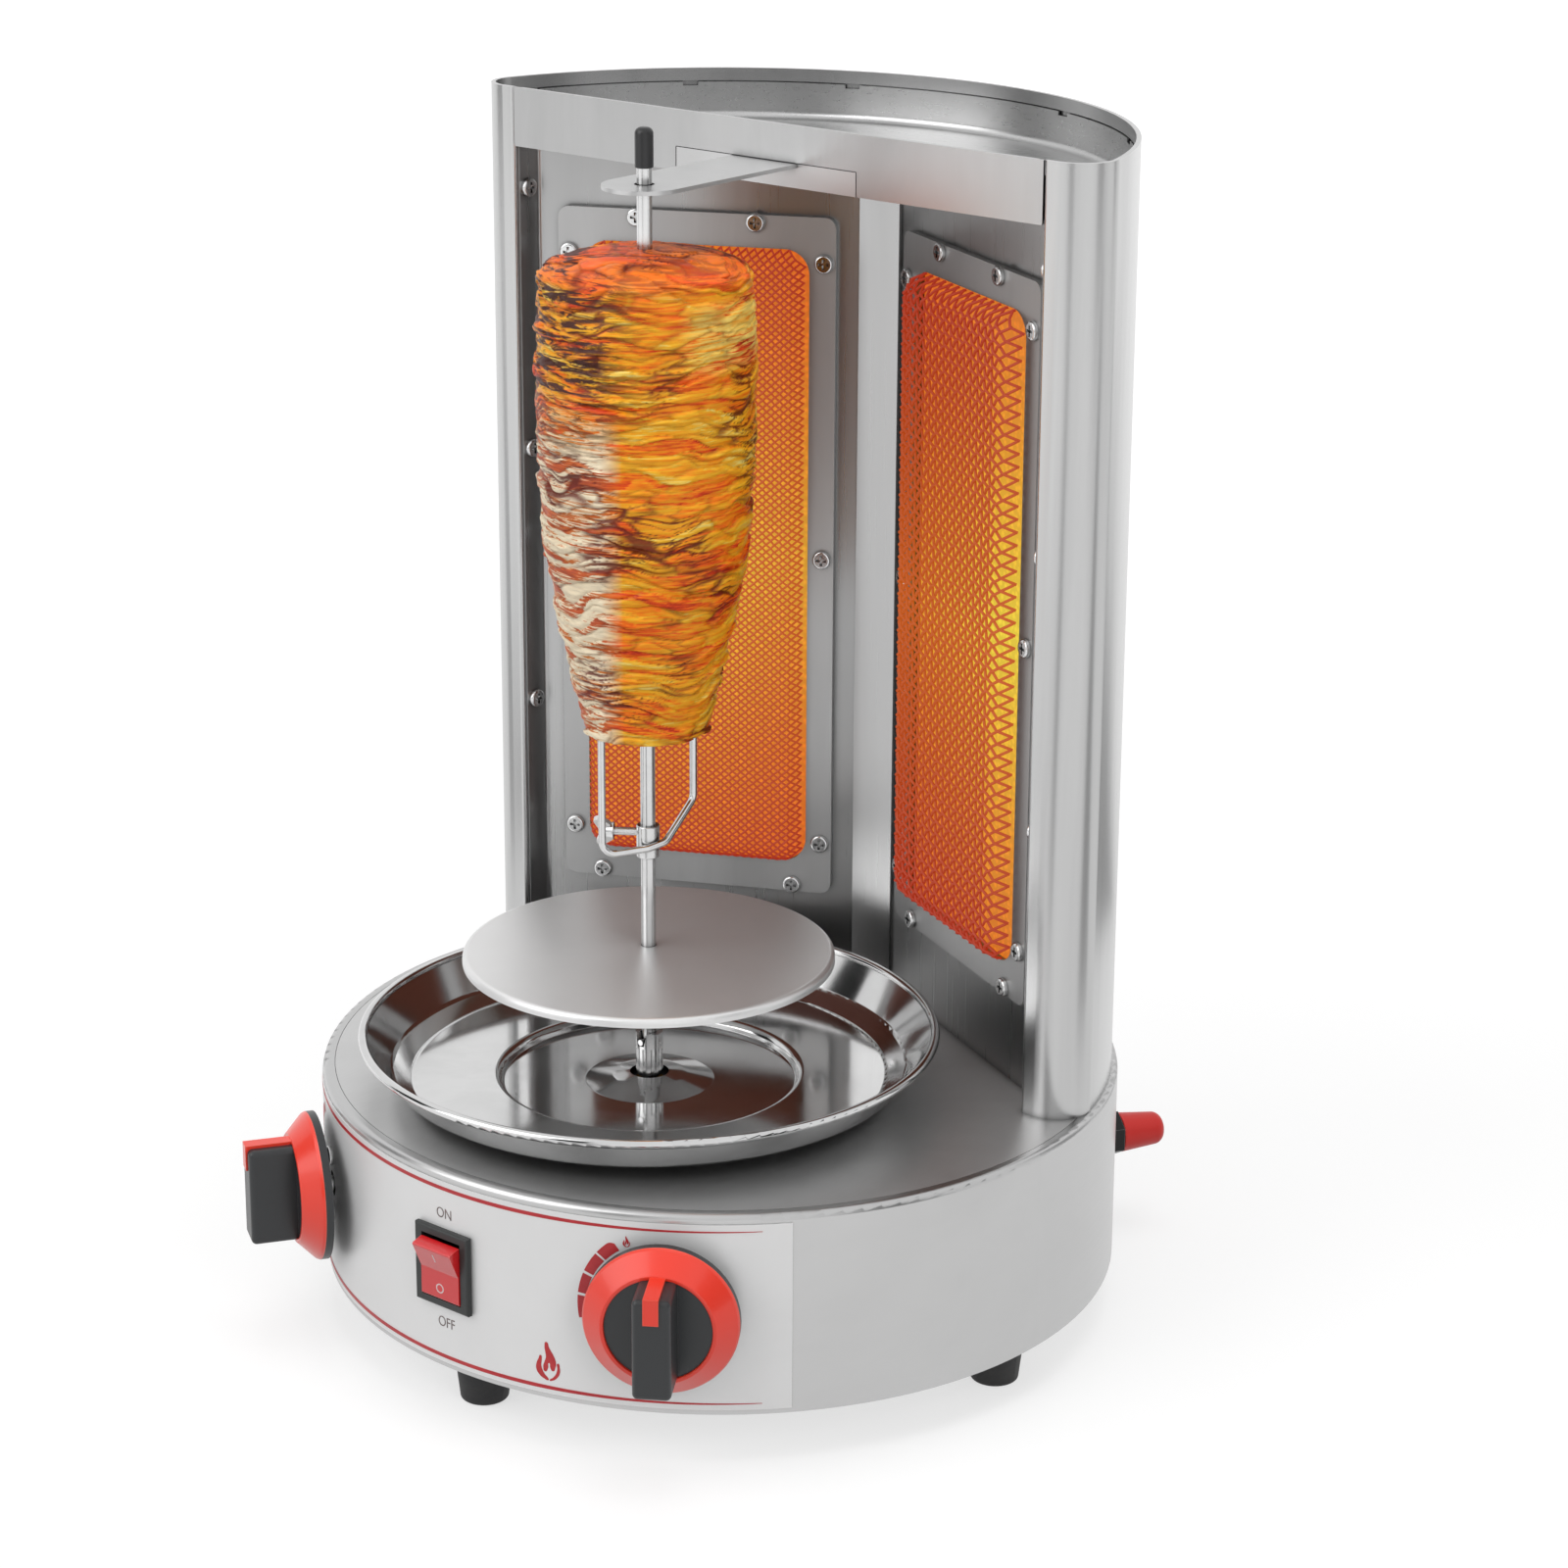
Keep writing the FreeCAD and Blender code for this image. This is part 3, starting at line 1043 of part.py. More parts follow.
# Casing
def casing_line(offset, ends=True):
    """Edges of the D-shaped casing outline, moved inwards by an offset, from the right end to the left."""
    bend_y = FACE_Y + COLUMN_BEND
    bend_x = math.sqrt((CASE_R - COLUMN_BEND) ** 2 - bend_y ** 2)
    length = math.hypot(bend_x, bend_y)
    bend_r = COLUMN_BEND - offset
    case_r = CASE_R - offset
    side = math.atan2(bend_y, bend_x)
    middle = (side - math.pi / 2) / 2
    flat_start = Vec(OPENING_HALF + (0 if not ends else RETURN_BEND), FACE_Y + offset, 0)
    flat_end = Vec(bend_x, FACE_Y + offset, 0)
    bend_mid = Vec(bend_x + bend_r * math.cos(middle), bend_y + bend_r * math.sin(middle), 0)
    bend_end = Vec(bend_x / length * case_r, bend_y / length * case_r, 0)
    right = [Part.LineSegment(flat_start, flat_end).toShape(), Part.Arc(flat_end, bend_mid, bend_end).toShape()]
    left_bend_end = Vec(-bend_end.x, bend_end.y, 0)
    back = Part.Arc(bend_end, Vec(0, case_r, 0), left_bend_end).toShape()
    left = [Part.Arc(left_bend_end, Vec(-bend_mid.x, bend_mid.y, 0), Vec(-flat_end.x, flat_end.y, 0)).toShape(),
            Part.LineSegment(Vec(-flat_end.x, flat_end.y, 0), Vec(-flat_start.x, flat_start.y, 0)).toShape()]
    return right + [back] + left


def return_edges(offset, bend):
    """Edges of the right return wall, from its inner end to the start of the column face."""
    x = OPENING_HALF + offset
    y = FACE_Y + offset
    corner = Vec(x + bend, y + bend, 0)
    mid = corner + Vec(-bend, -bend, 0) * math.sqrt(0.5)
    start = Vec(x, FACE_Y + RETURN_L, 0)
    return [Part.LineSegment(start, Vec(x, y + bend, 0)).toShape(),
            Part.Arc(Vec(x, y + bend, 0), mid, Vec(x + bend, y, 0)).toShape()]


def mirror_edges(edges):
    return [edge.mirror(Vec(0, 0, 0), Vec(1, 0, 0)) for edge in edges]


def casing_face():
    outer = casing_line(0) + return_edges(0, RETURN_BEND)
    outer += mirror_edges(return_edges(0, RETURN_BEND))
    inner = casing_line(SHEET) + return_edges(SHEET, RETURN_BEND - SHEET)
    inner += mirror_edges(return_edges(SHEET, RETURN_BEND - SHEET))
    ends = [Part.LineSegment(Vec(side * OPENING_HALF, PANEL_Y0, 0),
                             Vec(side * (OPENING_HALF + SHEET), PANEL_Y0, 0)).toShape() for side in (-1, 1)]
    return Part.Face(Part.Wire(Part.__sortEdges__(outer + inner + ends)))


def d_face(offset, front):
    """D-shaped face inside the casing: moved in by an offset, with its straight side at y = front."""
    bend_y = FACE_Y + COLUMN_BEND
    bend_x = math.sqrt((CASE_R - COLUMN_BEND) ** 2 - bend_y ** 2)
    full = casing_line(offset)
    first, last = full[0].Vertexes[0].Point, full[-1].Vertexes[-1].Point
    closing = Part.LineSegment(last, first).toShape()
    whole = Part.Face(Part.Wire(Part.__sortEdges__(full + [closing])))
    keep = Part.makePlane(4 * bend_x, 4 * bend_x, Vec(-2 * bend_x, front, 0))
    return whole.common(keep)


def base_screw_places():
    radius = CASE_R - SHEET - BASE_FLANGE_W / 2
    return [(radius * math.sin(math.radians(a)), -radius * math.cos(math.radians(a))) for a in BASE_SCREW_DEG]


def rear_casing():
    """One sheet wrapped round the back, bent in at the front columns, hemmed at the top."""
    body = casing_face().extrude(Vec(0, 0, CASE_TOP - DECK_Z))
    body.translate(Vec(0, 0, DECK_Z))
    above = block(-OPENING_HALF - SHEET - RETURN_BEND, OPENING_HALF + SHEET + RETURN_BEND, FACE_Y + SHEET,
                  PANEL_Y0 + 1, CEILING_Z, CASE_TOP + 1)
    body = body.cut(above)
    hem = Part.Face(Part.Wire(casing_ring(SHEET)))
    hem = hem.cut(Part.Face(Part.Wire(casing_ring(SHEET + PAN_T))))
    hem = hem.extrude(Vec(0, 0, HEM_H))
    hem.translate(Vec(0, 0, CASE_TOP - HEM_H))
    hem = hem.cut(block(-OPENING_HALF, OPENING_HALF, 0, FACE_Y + 4 * SHEET, CEILING_Z, CASE_TOP + 1))
    hem = hem.cut(block(-CASE_R, CASE_R, 0, FACE_Y + SHEET, CEILING_Z, CASE_TOP + 1))
    flange = cylinder(CASE_R - SHEET, SHEET, z=DECK_Z)
    flange = flange.cut(cylinder(CASE_R - SHEET - BASE_FLANGE_W, SHEET, z=DECK_Z))
    flange = flange.cut(block(-CASE_R, CASE_R, -CASE_R, PANEL_Y0 + 8, DECK_Z, DECK_Z + SHEET))
    casing = joined([body, hem, flange])
    cuts = [cylinder(SCREW_R + SLIP_FIT, 4 * SHEET, x, y, DECK_Z - SHEET) for x, y in base_screw_places()]
    screw_y = (FACE_Y + PANEL_Y0) / 2
    near, far = OPENING_HALF - SCREW_RUN, OPENING_HALF + 2 * SCREW_RUN
    cuts += [bar(Vec(side * near, screw_y, z), Vec(side * far, screw_y, z), SCREW_R)
             for side in (-1, 1) for z in COLUMN_SCREW_Z]
    return casing.cut(cuts)


def casing_ring(offset):
    """Closed D outline at an offset inside the casing."""
    edges = casing_line(offset)
    first, last = edges[0].Vertexes[0].Point, edges[-1].Vertexes[-1].Point
    return Part.__sortEdges__(edges + [Part.LineSegment(last, first).toShape()])


def front_band():
    """Band between the columns, notched for the spit bracket, with a flange under the ceiling."""
    half = OPENING_HALF - SLIP_FIT
    low = CEILING_Z - BAND_DROP
    corners = [(-half, low), (-NOTCH_HALF, low), (-NOTCH_HALF, low + NOTCH_H), (NOTCH_HALF, low + NOTCH_H),
               (NOTCH_HALF, low), (half, low), (half, CASE_TOP), (-half, CASE_TOP)]
    face = upright_face(corners, [0.8, 1, 0.5, 0.5, 1, 0.8, 0, 0])
    face.translate(Vec(0, FACE_Y, 0))
    pieces = [face.extrude(Vec(0, SHEET, 0))]
    pieces.append(block(-half + 3, half - 3, FACE_Y + SHEET, FACE_Y + SHEET + PAN_T, CASE_TOP - BAND_HEM, CASE_TOP))
    for side in (-1, 1):
        x0, x1 = sorted((side * (NOTCH_HALF + 2), side * (half - 4)))
        pieces.append(block(x0, x1, FACE_Y + SHEET / 2, FACE_Y + BAND_FLANGE, CEILING_Z - SHEET, CEILING_Z))
    return joined(pieces)


def recess_ceiling():
    face = d_face(SHEET + PAN_FIT, FACE_Y + BRACE_T + PAN_FIT)
    plate = face.extrude(Vec(0, 0, CEILING_T))
    plate.translate(Vec(0, 0, CEILING_Z))
    rivets = [cylinder(RIVET_R, 4 * CEILING_T, side * RIVET_X, rivet_y(), CEILING_Z - CEILING_T) for side in (-1, 1)]
    return plate.cut(rivets)


def rivet_y():
    return FACE_Y + BRACE_T + BRACE_FOOT / 2


def spit_bracket():
    """Bracket bent from one plate: foot under the ceiling, drop in the notch, tongue over the spit."""
    half = NOTCH_HALF - 2 * SLIP_FIT
    low = CEILING_Z - BRACE_T
    tongue_top = TONGUE_Z + BRACE_T
    foot = block(-half, half, FACE_Y, FACE_Y + BRACE_T + BRACE_FOOT, low, CEILING_Z)
    drop = block(-half, half, FACE_Y, FACE_Y + BRACE_T, low, tongue_top)
    half_tongue = TONGUE_W / 2
    tongue = joined([block(-half_tongue, half_tongue, SPIT_Y, FACE_Y + BRACE_T, TONGUE_Z, tongue_top),
                     cylinder(half_tongue, BRACE_T, 0, SPIT_Y, TONGUE_Z)])
    plate = joined([foot, drop, tongue])
    cuts = [cylinder(SPIT_HOLE_R, 4 * BRACE_T, 0, SPIT_Y, TONGUE_Z - BRACE_T)]
    cuts += [cylinder(RIVET_R, 4 * BRACE_T, side * RIVET_X, rivet_y(), low - BRACE_T) for side in (-1, 1)]
    return plate.cut(cuts)


def bracket_rivets():
    low = CEILING_Z - BRACE_T
    head_h = 1.2
    pieces = []
    for side in (-1, 1):
        x = side * RIVET_X
        head = spun([(0, low - head_h), (RIVET_R * 1.7, low), (0, low)], x=x, y=rivet_y())
        pieces.append(joined([head, cylinder(RIVET_R, CEILING_TOP - low, x, rivet_y(), low)]))
    return pieces


def flat_edges(shape, z):
    return [edge for edge in shape.Edges if abs(edge.BoundBox.ZMin - z) < 1e-4 and abs(edge.BoundBox.ZMax - z) < 1e-4]


def warming_tray():
    """D-shaped pan that closes the top of the casing, with small notches round its edge."""
    outer = d_face(SHEET + PAN_FIT, FACE_Y + BRACE_T + PAN_FIT)
    inner = d_face(SHEET + PAN_FIT + PAN_T, FACE_Y + BRACE_T + PAN_FIT + PAN_T)
    dish = outer.extrude(Vec(0, 0, PAN_WALL_H))
    room = moved_up(inner.extrude(Vec(0, 0, PAN_WALL_H)), PAN_T)
    dish = dish.makeFillet(PAN_BEND, flat_edges(dish, 0))
    room = room.makeFillet(PAN_BEND - PAN_T, flat_edges(room, PAN_T))
    pan = dish.cut(room)
    pan.translate(Vec(0, 0, CEILING_TOP))
    top = CEILING_TOP + PAN_WALL_H
    notch = block(-PAN_NOTCH_W / 2, PAN_NOTCH_W / 2, -CASE_R, -CASE_R + 6 * SHEET, top - PAN_NOTCH_H, top + 1)
    return pan.cut([turned(notch, angle) for angle in PAN_NOTCH_DEG])


def moved_up(shape, height):
    shape.translate(Vec(0, 0, height))
    return shape


# Inner panels and burners
def at_right_panel(shape):
    """Moves a shape built with its face on y = 0, looking to -Y, onto the right inner panel."""
    copy = shape.copy()
    copy.rotate(Vec(0, 0, 0), Vec(0, 0, 1), -PANEL_DEG)
    copy.translate(Vec(PANEL_MID_X, PANEL_MID_Y, 0))
    return copy


def rounded_plate(width, height, radius, front, back):
    """Upright plate with rounded corners, centred on the burner: front and back are distances to -Y."""
    half_w, half_h = width / 2, height / 2
    corners = [(-half_w, FRAME_MID_Z - half_h), (half_w, FRAME_MID_Z - half_h),
               (half_w, FRAME_MID_Z + half_h), (-half_w, FRAME_MID_Z + half_h)]
    face = upright_face(corners, [radius] * 4)
    face.translate(Vec(0, -front, 0))
    return face.extrude(Vec(0, front - back, 0))


def frame_screw_points():
    points = [(side * FRAME_SCREW_X, FRAME_MID_Z + z) for side in (-1, 1) for z in FRAME_SCREW_SIDE_Z]
    points += [(side * FRAME_SCREW_TOP_X, FRAME_MID_Z + FRAME_SCREW_END_Z) for side in (-1, 1)]
    points += [(side * FRAME_SCREW_LOW_X, FRAME_MID_Z - FRAME_SCREW_END_Z) for side in (-1, 1)]
    return points


def screw_holes(radius):
    return [bar(Vec(x, -2 * FRAME_RISE, z), Vec(x, 2 * FRAME_RISE, z), radius) for x, z in frame_screw_points()]


def inner_panel():
    """Right panel: a flange on the return wall, the burner face and a flange behind the middle strip."""
    path = [(STRIP_GAP, APEX_Y), (PANEL_X1, APEX_Y), (PANEL_X0, PANEL_Y0), (PANEL_X0, FACE_Y + 2 * SHEET)]
    panel = bent_sheet(path, [0, PANEL_BEND, PANEL_BEND + PANEL_T, 0], PANEL_T, DECK_Z, CEILING_Z)
    screw_y = (FACE_Y + PANEL_Y0) / 2
    cuts = [bar(Vec(PANEL_X0 - SCREW_RUN, screw_y, z), Vec(OPENING_HALF + SCREW_RUN, screw_y, z), SCREW_R + SLIP_FIT)
            for z in COLUMN_SCREW_Z]
    window = rounded_plate(2 * BOX_HALF_W, 2 * BOX_HALF_H, 1, 4 * PANEL_T, -4 * PANEL_T)
    cuts += [at_right_panel(cut) for cut in [window] + screw_holes(SCREW_R + SLIP_FIT)]
    return panel.cut(cuts)


def centre_strip():
    return block(-STRIP_HALF, STRIP_HALF, APEX_Y - PANEL_T, APEX_Y, DECK_Z, CEILING_Z)


def housing_screws():
    """Screws in the column walls and in the foot of the casing."""
    screw_y = (FACE_Y + PANEL_Y0) / 2
    side_screw = pan_screw(PANEL_T + SHEET + 4)
    pieces = []
    for z in COLUMN_SCREW_Z:
        for side in (-1, 1):
            pieces.append(aimed(side_screw, Vec(side * PANEL_X0, screw_y, z), Vec(-side, 0, 0)))
    base_screw = pan_screw(SHEET + DECK_T + 2)
    pieces += [aimed(base_screw, Vec(x, y, DECK_Z + SHEET), Vec(0, 0, 1)) for x, y in base_screw_places()]
    return pieces


def burner_frame():
    """Dished frame: its outer edge meets the panel and its inner edge clamps the mesh."""
    outer = rounded_plate(FRAME_W, FRAME_H, FRAME_ROUND, FRAME_RISE, 0)
    hollow = rounded_plate(FRAME_W - 2 * FRAME_T, FRAME_H - 2 * FRAME_T, FRAME_ROUND - FRAME_T,
                           FRAME_RISE - FRAME_T, -1)
    edge_w, edge_h = MESH_W + 2 * RUN_FIT, MESH_H + 2 * RUN_FIT
    inner_edge = rounded_plate(edge_w + 2 * FRAME_T, edge_h + 2 * FRAME_T, MESH_ROUND + FRAME_T,
                               FRAME_RISE, MESH_T)
    window = rounded_plate(edge_w, edge_h, MESH_ROUND, 2 * FRAME_RISE, -FRAME_RISE)
    frame = joined([outer.cut(hollow), inner_edge]).cut([window] + screw_holes(SCREW_R + SLIP_FIT))
    return at_right_panel(frame)


def burner_mesh():
    """Domed guard of woven wire: a crowned shell with a flange under the frame."""
    crown = FRAME_RISE + MESH_RISE
    dome = rounded_plate(MESH_W, MESH_H, MESH_ROUND, crown, 0)
    front_edges = [e for e in dome.Edges if abs(e.BoundBox.YMin + crown) < 1e-4 and abs(e.BoundBox.YMax + crown) < 1e-4]
    dome = dome.makeFillet(MESH_EDGE, front_edges)
    hollow = rounded_plate(MESH_W - 2 * MESH_T, MESH_H - 2 * MESH_T, MESH_ROUND - MESH_T, crown - MESH_T, -1)
    deep = crown - MESH_T
    hollow_edges = [e for e in hollow.Edges
                    if abs(e.BoundBox.YMin + deep) < 1e-4 and abs(e.BoundBox.YMax + deep) < 1e-4]
    hollow = hollow.makeFillet(MESH_EDGE - MESH_T, hollow_edges)
    flange = rounded_plate(MESH_W + 2 * MESH_FLANGE, MESH_H + 2 * MESH_FLANGE, MESH_ROUND, MESH_T, 0)
    return at_right_panel(joined([dome, flange]).cut(hollow))


def burner_tiles():
    """Ceramic plaques, one above the other."""
    pieces = []
    low = FRAME_MID_Z - TILE_COUNT * TILE_H / 2
    for index in range(TILE_COUNT):
        z = low + index * TILE_H
        pieces.append(at_right_panel(block(-TILE_W / 2, TILE_W / 2, TILE_BACK, TILE_BACK + TILE_T, z, z + TILE_H)))
    return pieces


def gasket_back():
    return TILE_BACK + TILE_T + GASKET_T


def burner_gasket():
    gap = 2 * TILE_FIT
    outer = rounded_plate(2 * BOX_HALF_W - gap, 2 * BOX_HALF_H - gap, 1, -TILE_BACK - TILE_T, -gasket_back())
    inner = rounded_plate(2 * BOX_HALF_W - gap - 2 * GASKET_W, 2 * BOX_HALF_H - gap - 2 * GASKET_W, 1,
                          -TILE_BACK, -gasket_back() - 1)
    return at_right_panel(outer.cut(inner))


def burner_box():
    """Stepped steel box behind the tiles, with a flange on the back of the panel."""
    wide_w, wide_h = 2 * BOX_HALF_W, 2 * BOX_HALF_H
    step = 2 * GASKET_W
    back = gasket_back()
    deep = PANEL_T + BOX_DEPTH
    over = 2 * BOX_FLANGE_OVER
    outer = [rounded_plate(FRAME_W - over, FRAME_H + over, 3, -PANEL_T, -PANEL_T - BOX_T),
             rounded_plate(wide_w + 2 * BOX_T, wide_h + 2 * BOX_T, 2, -PANEL_T, -back - BOX_T),
             rounded_plate(wide_w - step + 2 * BOX_T, wide_h - step + 2 * BOX_T, 2, -PANEL_T, -deep)]
    inner = [rounded_plate(wide_w, wide_h, 1, 1, -back),
             rounded_plate(wide_w - step, wide_h - step, 1, -PANEL_T, -deep + BOX_T)]
    x, y = tube_place()
    box = at_right_panel(joined(outer).cut(inner + screw_holes(SCREW_R)))
    low = FRAME_MID_Z - BOX_HALF_H + GASKET_W
    return box.cut(cylinder(TUBE_R - TUBE_WALL, 3 * BOX_T, x, y, low - 2 * BOX_T))


def burner_screws():
    screw = pan_screw(FRAME_SCREW_L)
    pieces = []
    for x, z in frame_screw_points():
        pieces.append(at_right_panel(aimed(screw, Vec(x, -FRAME_RISE, z), Vec(0, -1, 0))))
    return pieces + [mirrored(piece) for piece in pieces]


def solids(shape):
    """Flat list of the solids in a shape or a list of shapes."""
    shapes = shape if isinstance(shape, list) else [shape]
    found = [solid for item in shapes for solid in item.Solids]
    return Part.makeCompound(found) if len(found) > 1 else found[0]


def sided(name, shape):
    """The same part for the right and the left side."""
    pieces = shape if isinstance(shape, list) else [shape]
    return {"right_" + name: pieces, "left_" + name: [mirrored(piece) for piece in pieces]}


PARTS = {
    "base_shell": base_shell(),
    "base_top_plate": base_top_plate(),
    "bottom_cover": bottom_cover(),
    "rubber_feet": rubber_feet(),
    "foot_fasteners": foot_fasteners(),
    "control_label": control_label(),
    "valve_screws": valve_screws(),
    "switch_housing": switch_housing(),
    "power_rocker": power_rocker(),
    "gas_manifold": gas_manifold(),
    "gas_nipple": gas_nipple(),
    "inlet_nut": inlet_nut(),
    "inlet_cap": inlet_cap(),
    "injectors": injectors(),
    "mixing_tubes": mixing_tubes(),
    "cord_gland": cord_gland(),
    "wiring": wiring(),
    "motor_bracket": motor_bracket(),
    "motor_gearbox": motor_gearbox(),
    "motor_case": motor_case(),
    "motor_screws": motor_screws(),
    "drive_bush": drive_bush(),
    "output_shaft": output_shaft(),
    "drive_socket": drive_socket(),
    "spit_rod": spit_rod(),
    "tip_cap": tip_cap(),
    "fat_disc": fat_disc(),
    "disc_collar": disc_collar(),
    "meat_stack": meat_stack(),
    "meat_fork": meat_fork(),
    "thumb_screw": thumb_screw(),
    "drip_tray": drip_tray(),
    "rear_casing": rear_casing(),
    "front_band": front_band(),
    "recess_ceiling": recess_ceiling(),
    "spit_bracket": spit_bracket(),
    "warming_tray": warming_tray(),
    "centre_strip": centre_strip(),
    "housing_fasteners": housing_screws() + bracket_rivets(),
    "burner_screws": burner_screws(),
    "feed_pipes": both_sides(feed_pipe()),
    "burner_tiles": [piece for tile in burner_tiles() for piece in both_sides(tile)],
    "burner_gaskets": both_sides(burner_gasket()),
    "burner_boxes": both_sides(burner_box()),
}
for side_name, degrees in (("right", KNOB_DEG), ("left", -KNOB_DEG)):
    PARTS[side_name + "_valve_body"] = turned(valve_body(), degrees)
    PARTS[side_name + "_valve_plunger"] = turned(valve_plunger(), degrees)
    PARTS[side_name + "_valve_stem"] = turned(valve_stem(), degrees)
    PARTS[side_name + "_knob_ring"] = turned(knob_ring(), degrees)
    PARTS[side_name + "_knob_grip"] = turned(knob_grip(), degrees)
PARTS.update(sided("inner_panel", inner_panel()))
PARTS.update(sided("burner_frame", burner_frame()))
PARTS.update(sided("burner_mesh", burner_mesh()))

os.makedirs("parts", exist_ok=True)
for node, part_shape in PARTS.items():
    whole = solids(part_shape)
    whole.exportStep("parts/" + node + ".step")
    print(node, len(whole.Solids), "valid" if whole.isValid() else "NOT VALID", round(whole.Volume, 1))
print(len(PARTS), "nodes")
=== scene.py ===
# Table-top gas grill with a motor-turned vertical spit.
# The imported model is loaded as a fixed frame. Its steel parts get their finishes here, and the wire guards,
# the meat and the printed marks are modelled on it. Everything is in metres, +Z up, with the front at -Y.
import bpy
import bmesh
import math
from mathutils import Matrix, Vector, noise


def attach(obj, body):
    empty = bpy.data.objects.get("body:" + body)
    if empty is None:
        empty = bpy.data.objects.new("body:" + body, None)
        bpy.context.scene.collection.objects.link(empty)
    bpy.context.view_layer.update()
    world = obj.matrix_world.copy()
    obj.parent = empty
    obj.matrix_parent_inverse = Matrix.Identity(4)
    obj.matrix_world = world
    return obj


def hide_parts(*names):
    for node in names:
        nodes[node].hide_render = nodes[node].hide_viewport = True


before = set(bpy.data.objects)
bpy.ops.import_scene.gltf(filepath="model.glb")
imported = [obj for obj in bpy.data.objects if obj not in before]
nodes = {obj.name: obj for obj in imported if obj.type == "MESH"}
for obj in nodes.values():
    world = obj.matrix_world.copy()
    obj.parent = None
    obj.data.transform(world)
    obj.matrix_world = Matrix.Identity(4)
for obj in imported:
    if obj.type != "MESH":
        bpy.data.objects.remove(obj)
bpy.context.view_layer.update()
bpy.ops.object.select_all(action="DESELECT")

# Camera
# A long lens from the front right and above, framed as in the photograph.
# It looks at a point on the axis of the base, 230 mm above the table.
LOOK_AT = Vector((0.0, 0.0, 0.230))
CAMERA_DISTANCE = 1.519
CAMERA_SIDE = math.radians(40.45)
CAMERA_RISE = math.radians(17.95)
LENS_PIXELS = 4062.6
IMAGE_PIXELS = 1600
LOOK_AT_PIXELS = (735.2, 741.0)
SENSOR_MM = 36.0

camera_way = Vector((
    math.sin(CAMERA_SIDE) * math.cos(CAMERA_RISE),
    -math.cos(CAMERA_SIDE) * math.cos(CAMERA_RISE),
    math.sin(CAMERA_RISE)))
camera_data = bpy.data.cameras.new("view")
camera = bpy.data.objects.new("view", camera_data)
bpy.context.scene.collection.objects.link(camera)
camera.location = LOOK_AT + camera_way * CAMERA_DISTANCE
camera.rotation_euler = (-camera_way).to_track_quat("-Z", "Y").to_euler()
camera_data.sensor_width = SENSOR_MM
camera_data.lens = LENS_PIXELS / IMAGE_PIXELS * SENSOR_MM
camera_data.shift_x = (IMAGE_PIXELS / 2 - LOOK_AT_PIXELS[0]) / IMAGE_PIXELS
camera_data.shift_y = (LOOK_AT_PIXELS[1] - IMAGE_PIXELS / 2) / IMAGE_PIXELS
camera_data.clip_start = 0.05
camera_data.clip_end = 30.0
bpy.context.scene.camera = camera
bpy.context.scene.view_settings.view_transform = "Standard"

# Studio
# Plain white room: soft lamps at a plain level, a white floor, and grey boards that only the metal sees.
# The white of the background comes from camera and glossy rays, not from more light.


def fill_sockets(node, sockets):
    """Gives each of a node's sockets its value, or a link from another node's socket."""
    for socket, value in sockets.items():
        if isinstance(value, bpy.types.NodeSocket):
            node.id_data.links.new(value, node.inputs[socket])
        else:
            node.inputs[socket].default_value = value


def add_node(tree, kind, sockets, **properties):
    """A new shader node of a kind, with its properties set and its sockets filled."""
    node = tree.nodes.new("ShaderNode" + kind)
    for label, value in properties.items():
        setattr(node, label, value)
    fill_sockets(node, sockets)
    return node


def calculated(tree, operation, *values):
    """The result of a Math node on sockets or numbers."""
    return add_node(tree, "Math", dict(enumerate(values)), operation=operation).outputs["Value"]


def ranged(tree, value, low, high, first=0.0, last=1.0):
    """Maps a value from low..high to first..last, and holds it there beyond them."""
    sockets = {"Value": value, "From Min": low, "From Max": high, "To Min": first, "To Max": last}
    return add_node(tree, "MapRange", sockets).outputs["Result"]


def grey(level):
    """A neutral colour of one level."""
    return (level, level, level, 1.0)


ROOM_LIGHT = 0.5
world = bpy.data.worlds.new("studio")
bpy.context.scene.world = world
world.use_nodes = True
tree = world.node_tree
rays = add_node(tree, "LightPath", {}).outputs
sees_room = calculated(tree, "MAXIMUM", rays["Is Camera Ray"], rays["Is Transmission Ray"])
sees_room = calculated(tree, "MAXIMUM", sees_room, rays["Is Glossy Ray"])
room_level = ranged(tree, sees_room, 0.0, 1.0, ROOM_LIGHT, 1.0)
fill_sockets(tree.nodes["Background"], {"Color": grey(1.0), "Strength": room_level})

bpy.ops.mesh.primitive_plane_add(size=8.0, location=(0, 0, 0))
floor = bpy.context.object
floor.name = "floor"
floor_finish = bpy.data.materials.new("floor_white")
floor_finish.use_nodes = True
tree = floor_finish.node_tree
rays = add_node(tree, "LightPath", {}).outputs
sees_floor = calculated(tree, "MAXIMUM", rays["Is Camera Ray"], rays["Is Glossy Ray"])
# Close to the object the floor glows less, so that the object's shadow shows on it.
place = add_node(tree, "TexCoord", {}).outputs["Object"]
reach = add_node(tree, "VectorMath", {0: place}, operation="LENGTH").outputs["Value"]
floor_glow = calculated(tree, "MULTIPLY", sees_floor, ranged(tree, reach, 0.35, 2.4, 0.62, 0.9))
fill_sockets(tree.nodes["Principled BSDF"], {
    "Base Color": grey(0.40), "Roughness": 0.9, "Specular IOR Level": 0.1,
    "Emission Color": grey(1.0), "Emission Strength": floor_glow})
floor.data.materials.append(floor_finish)


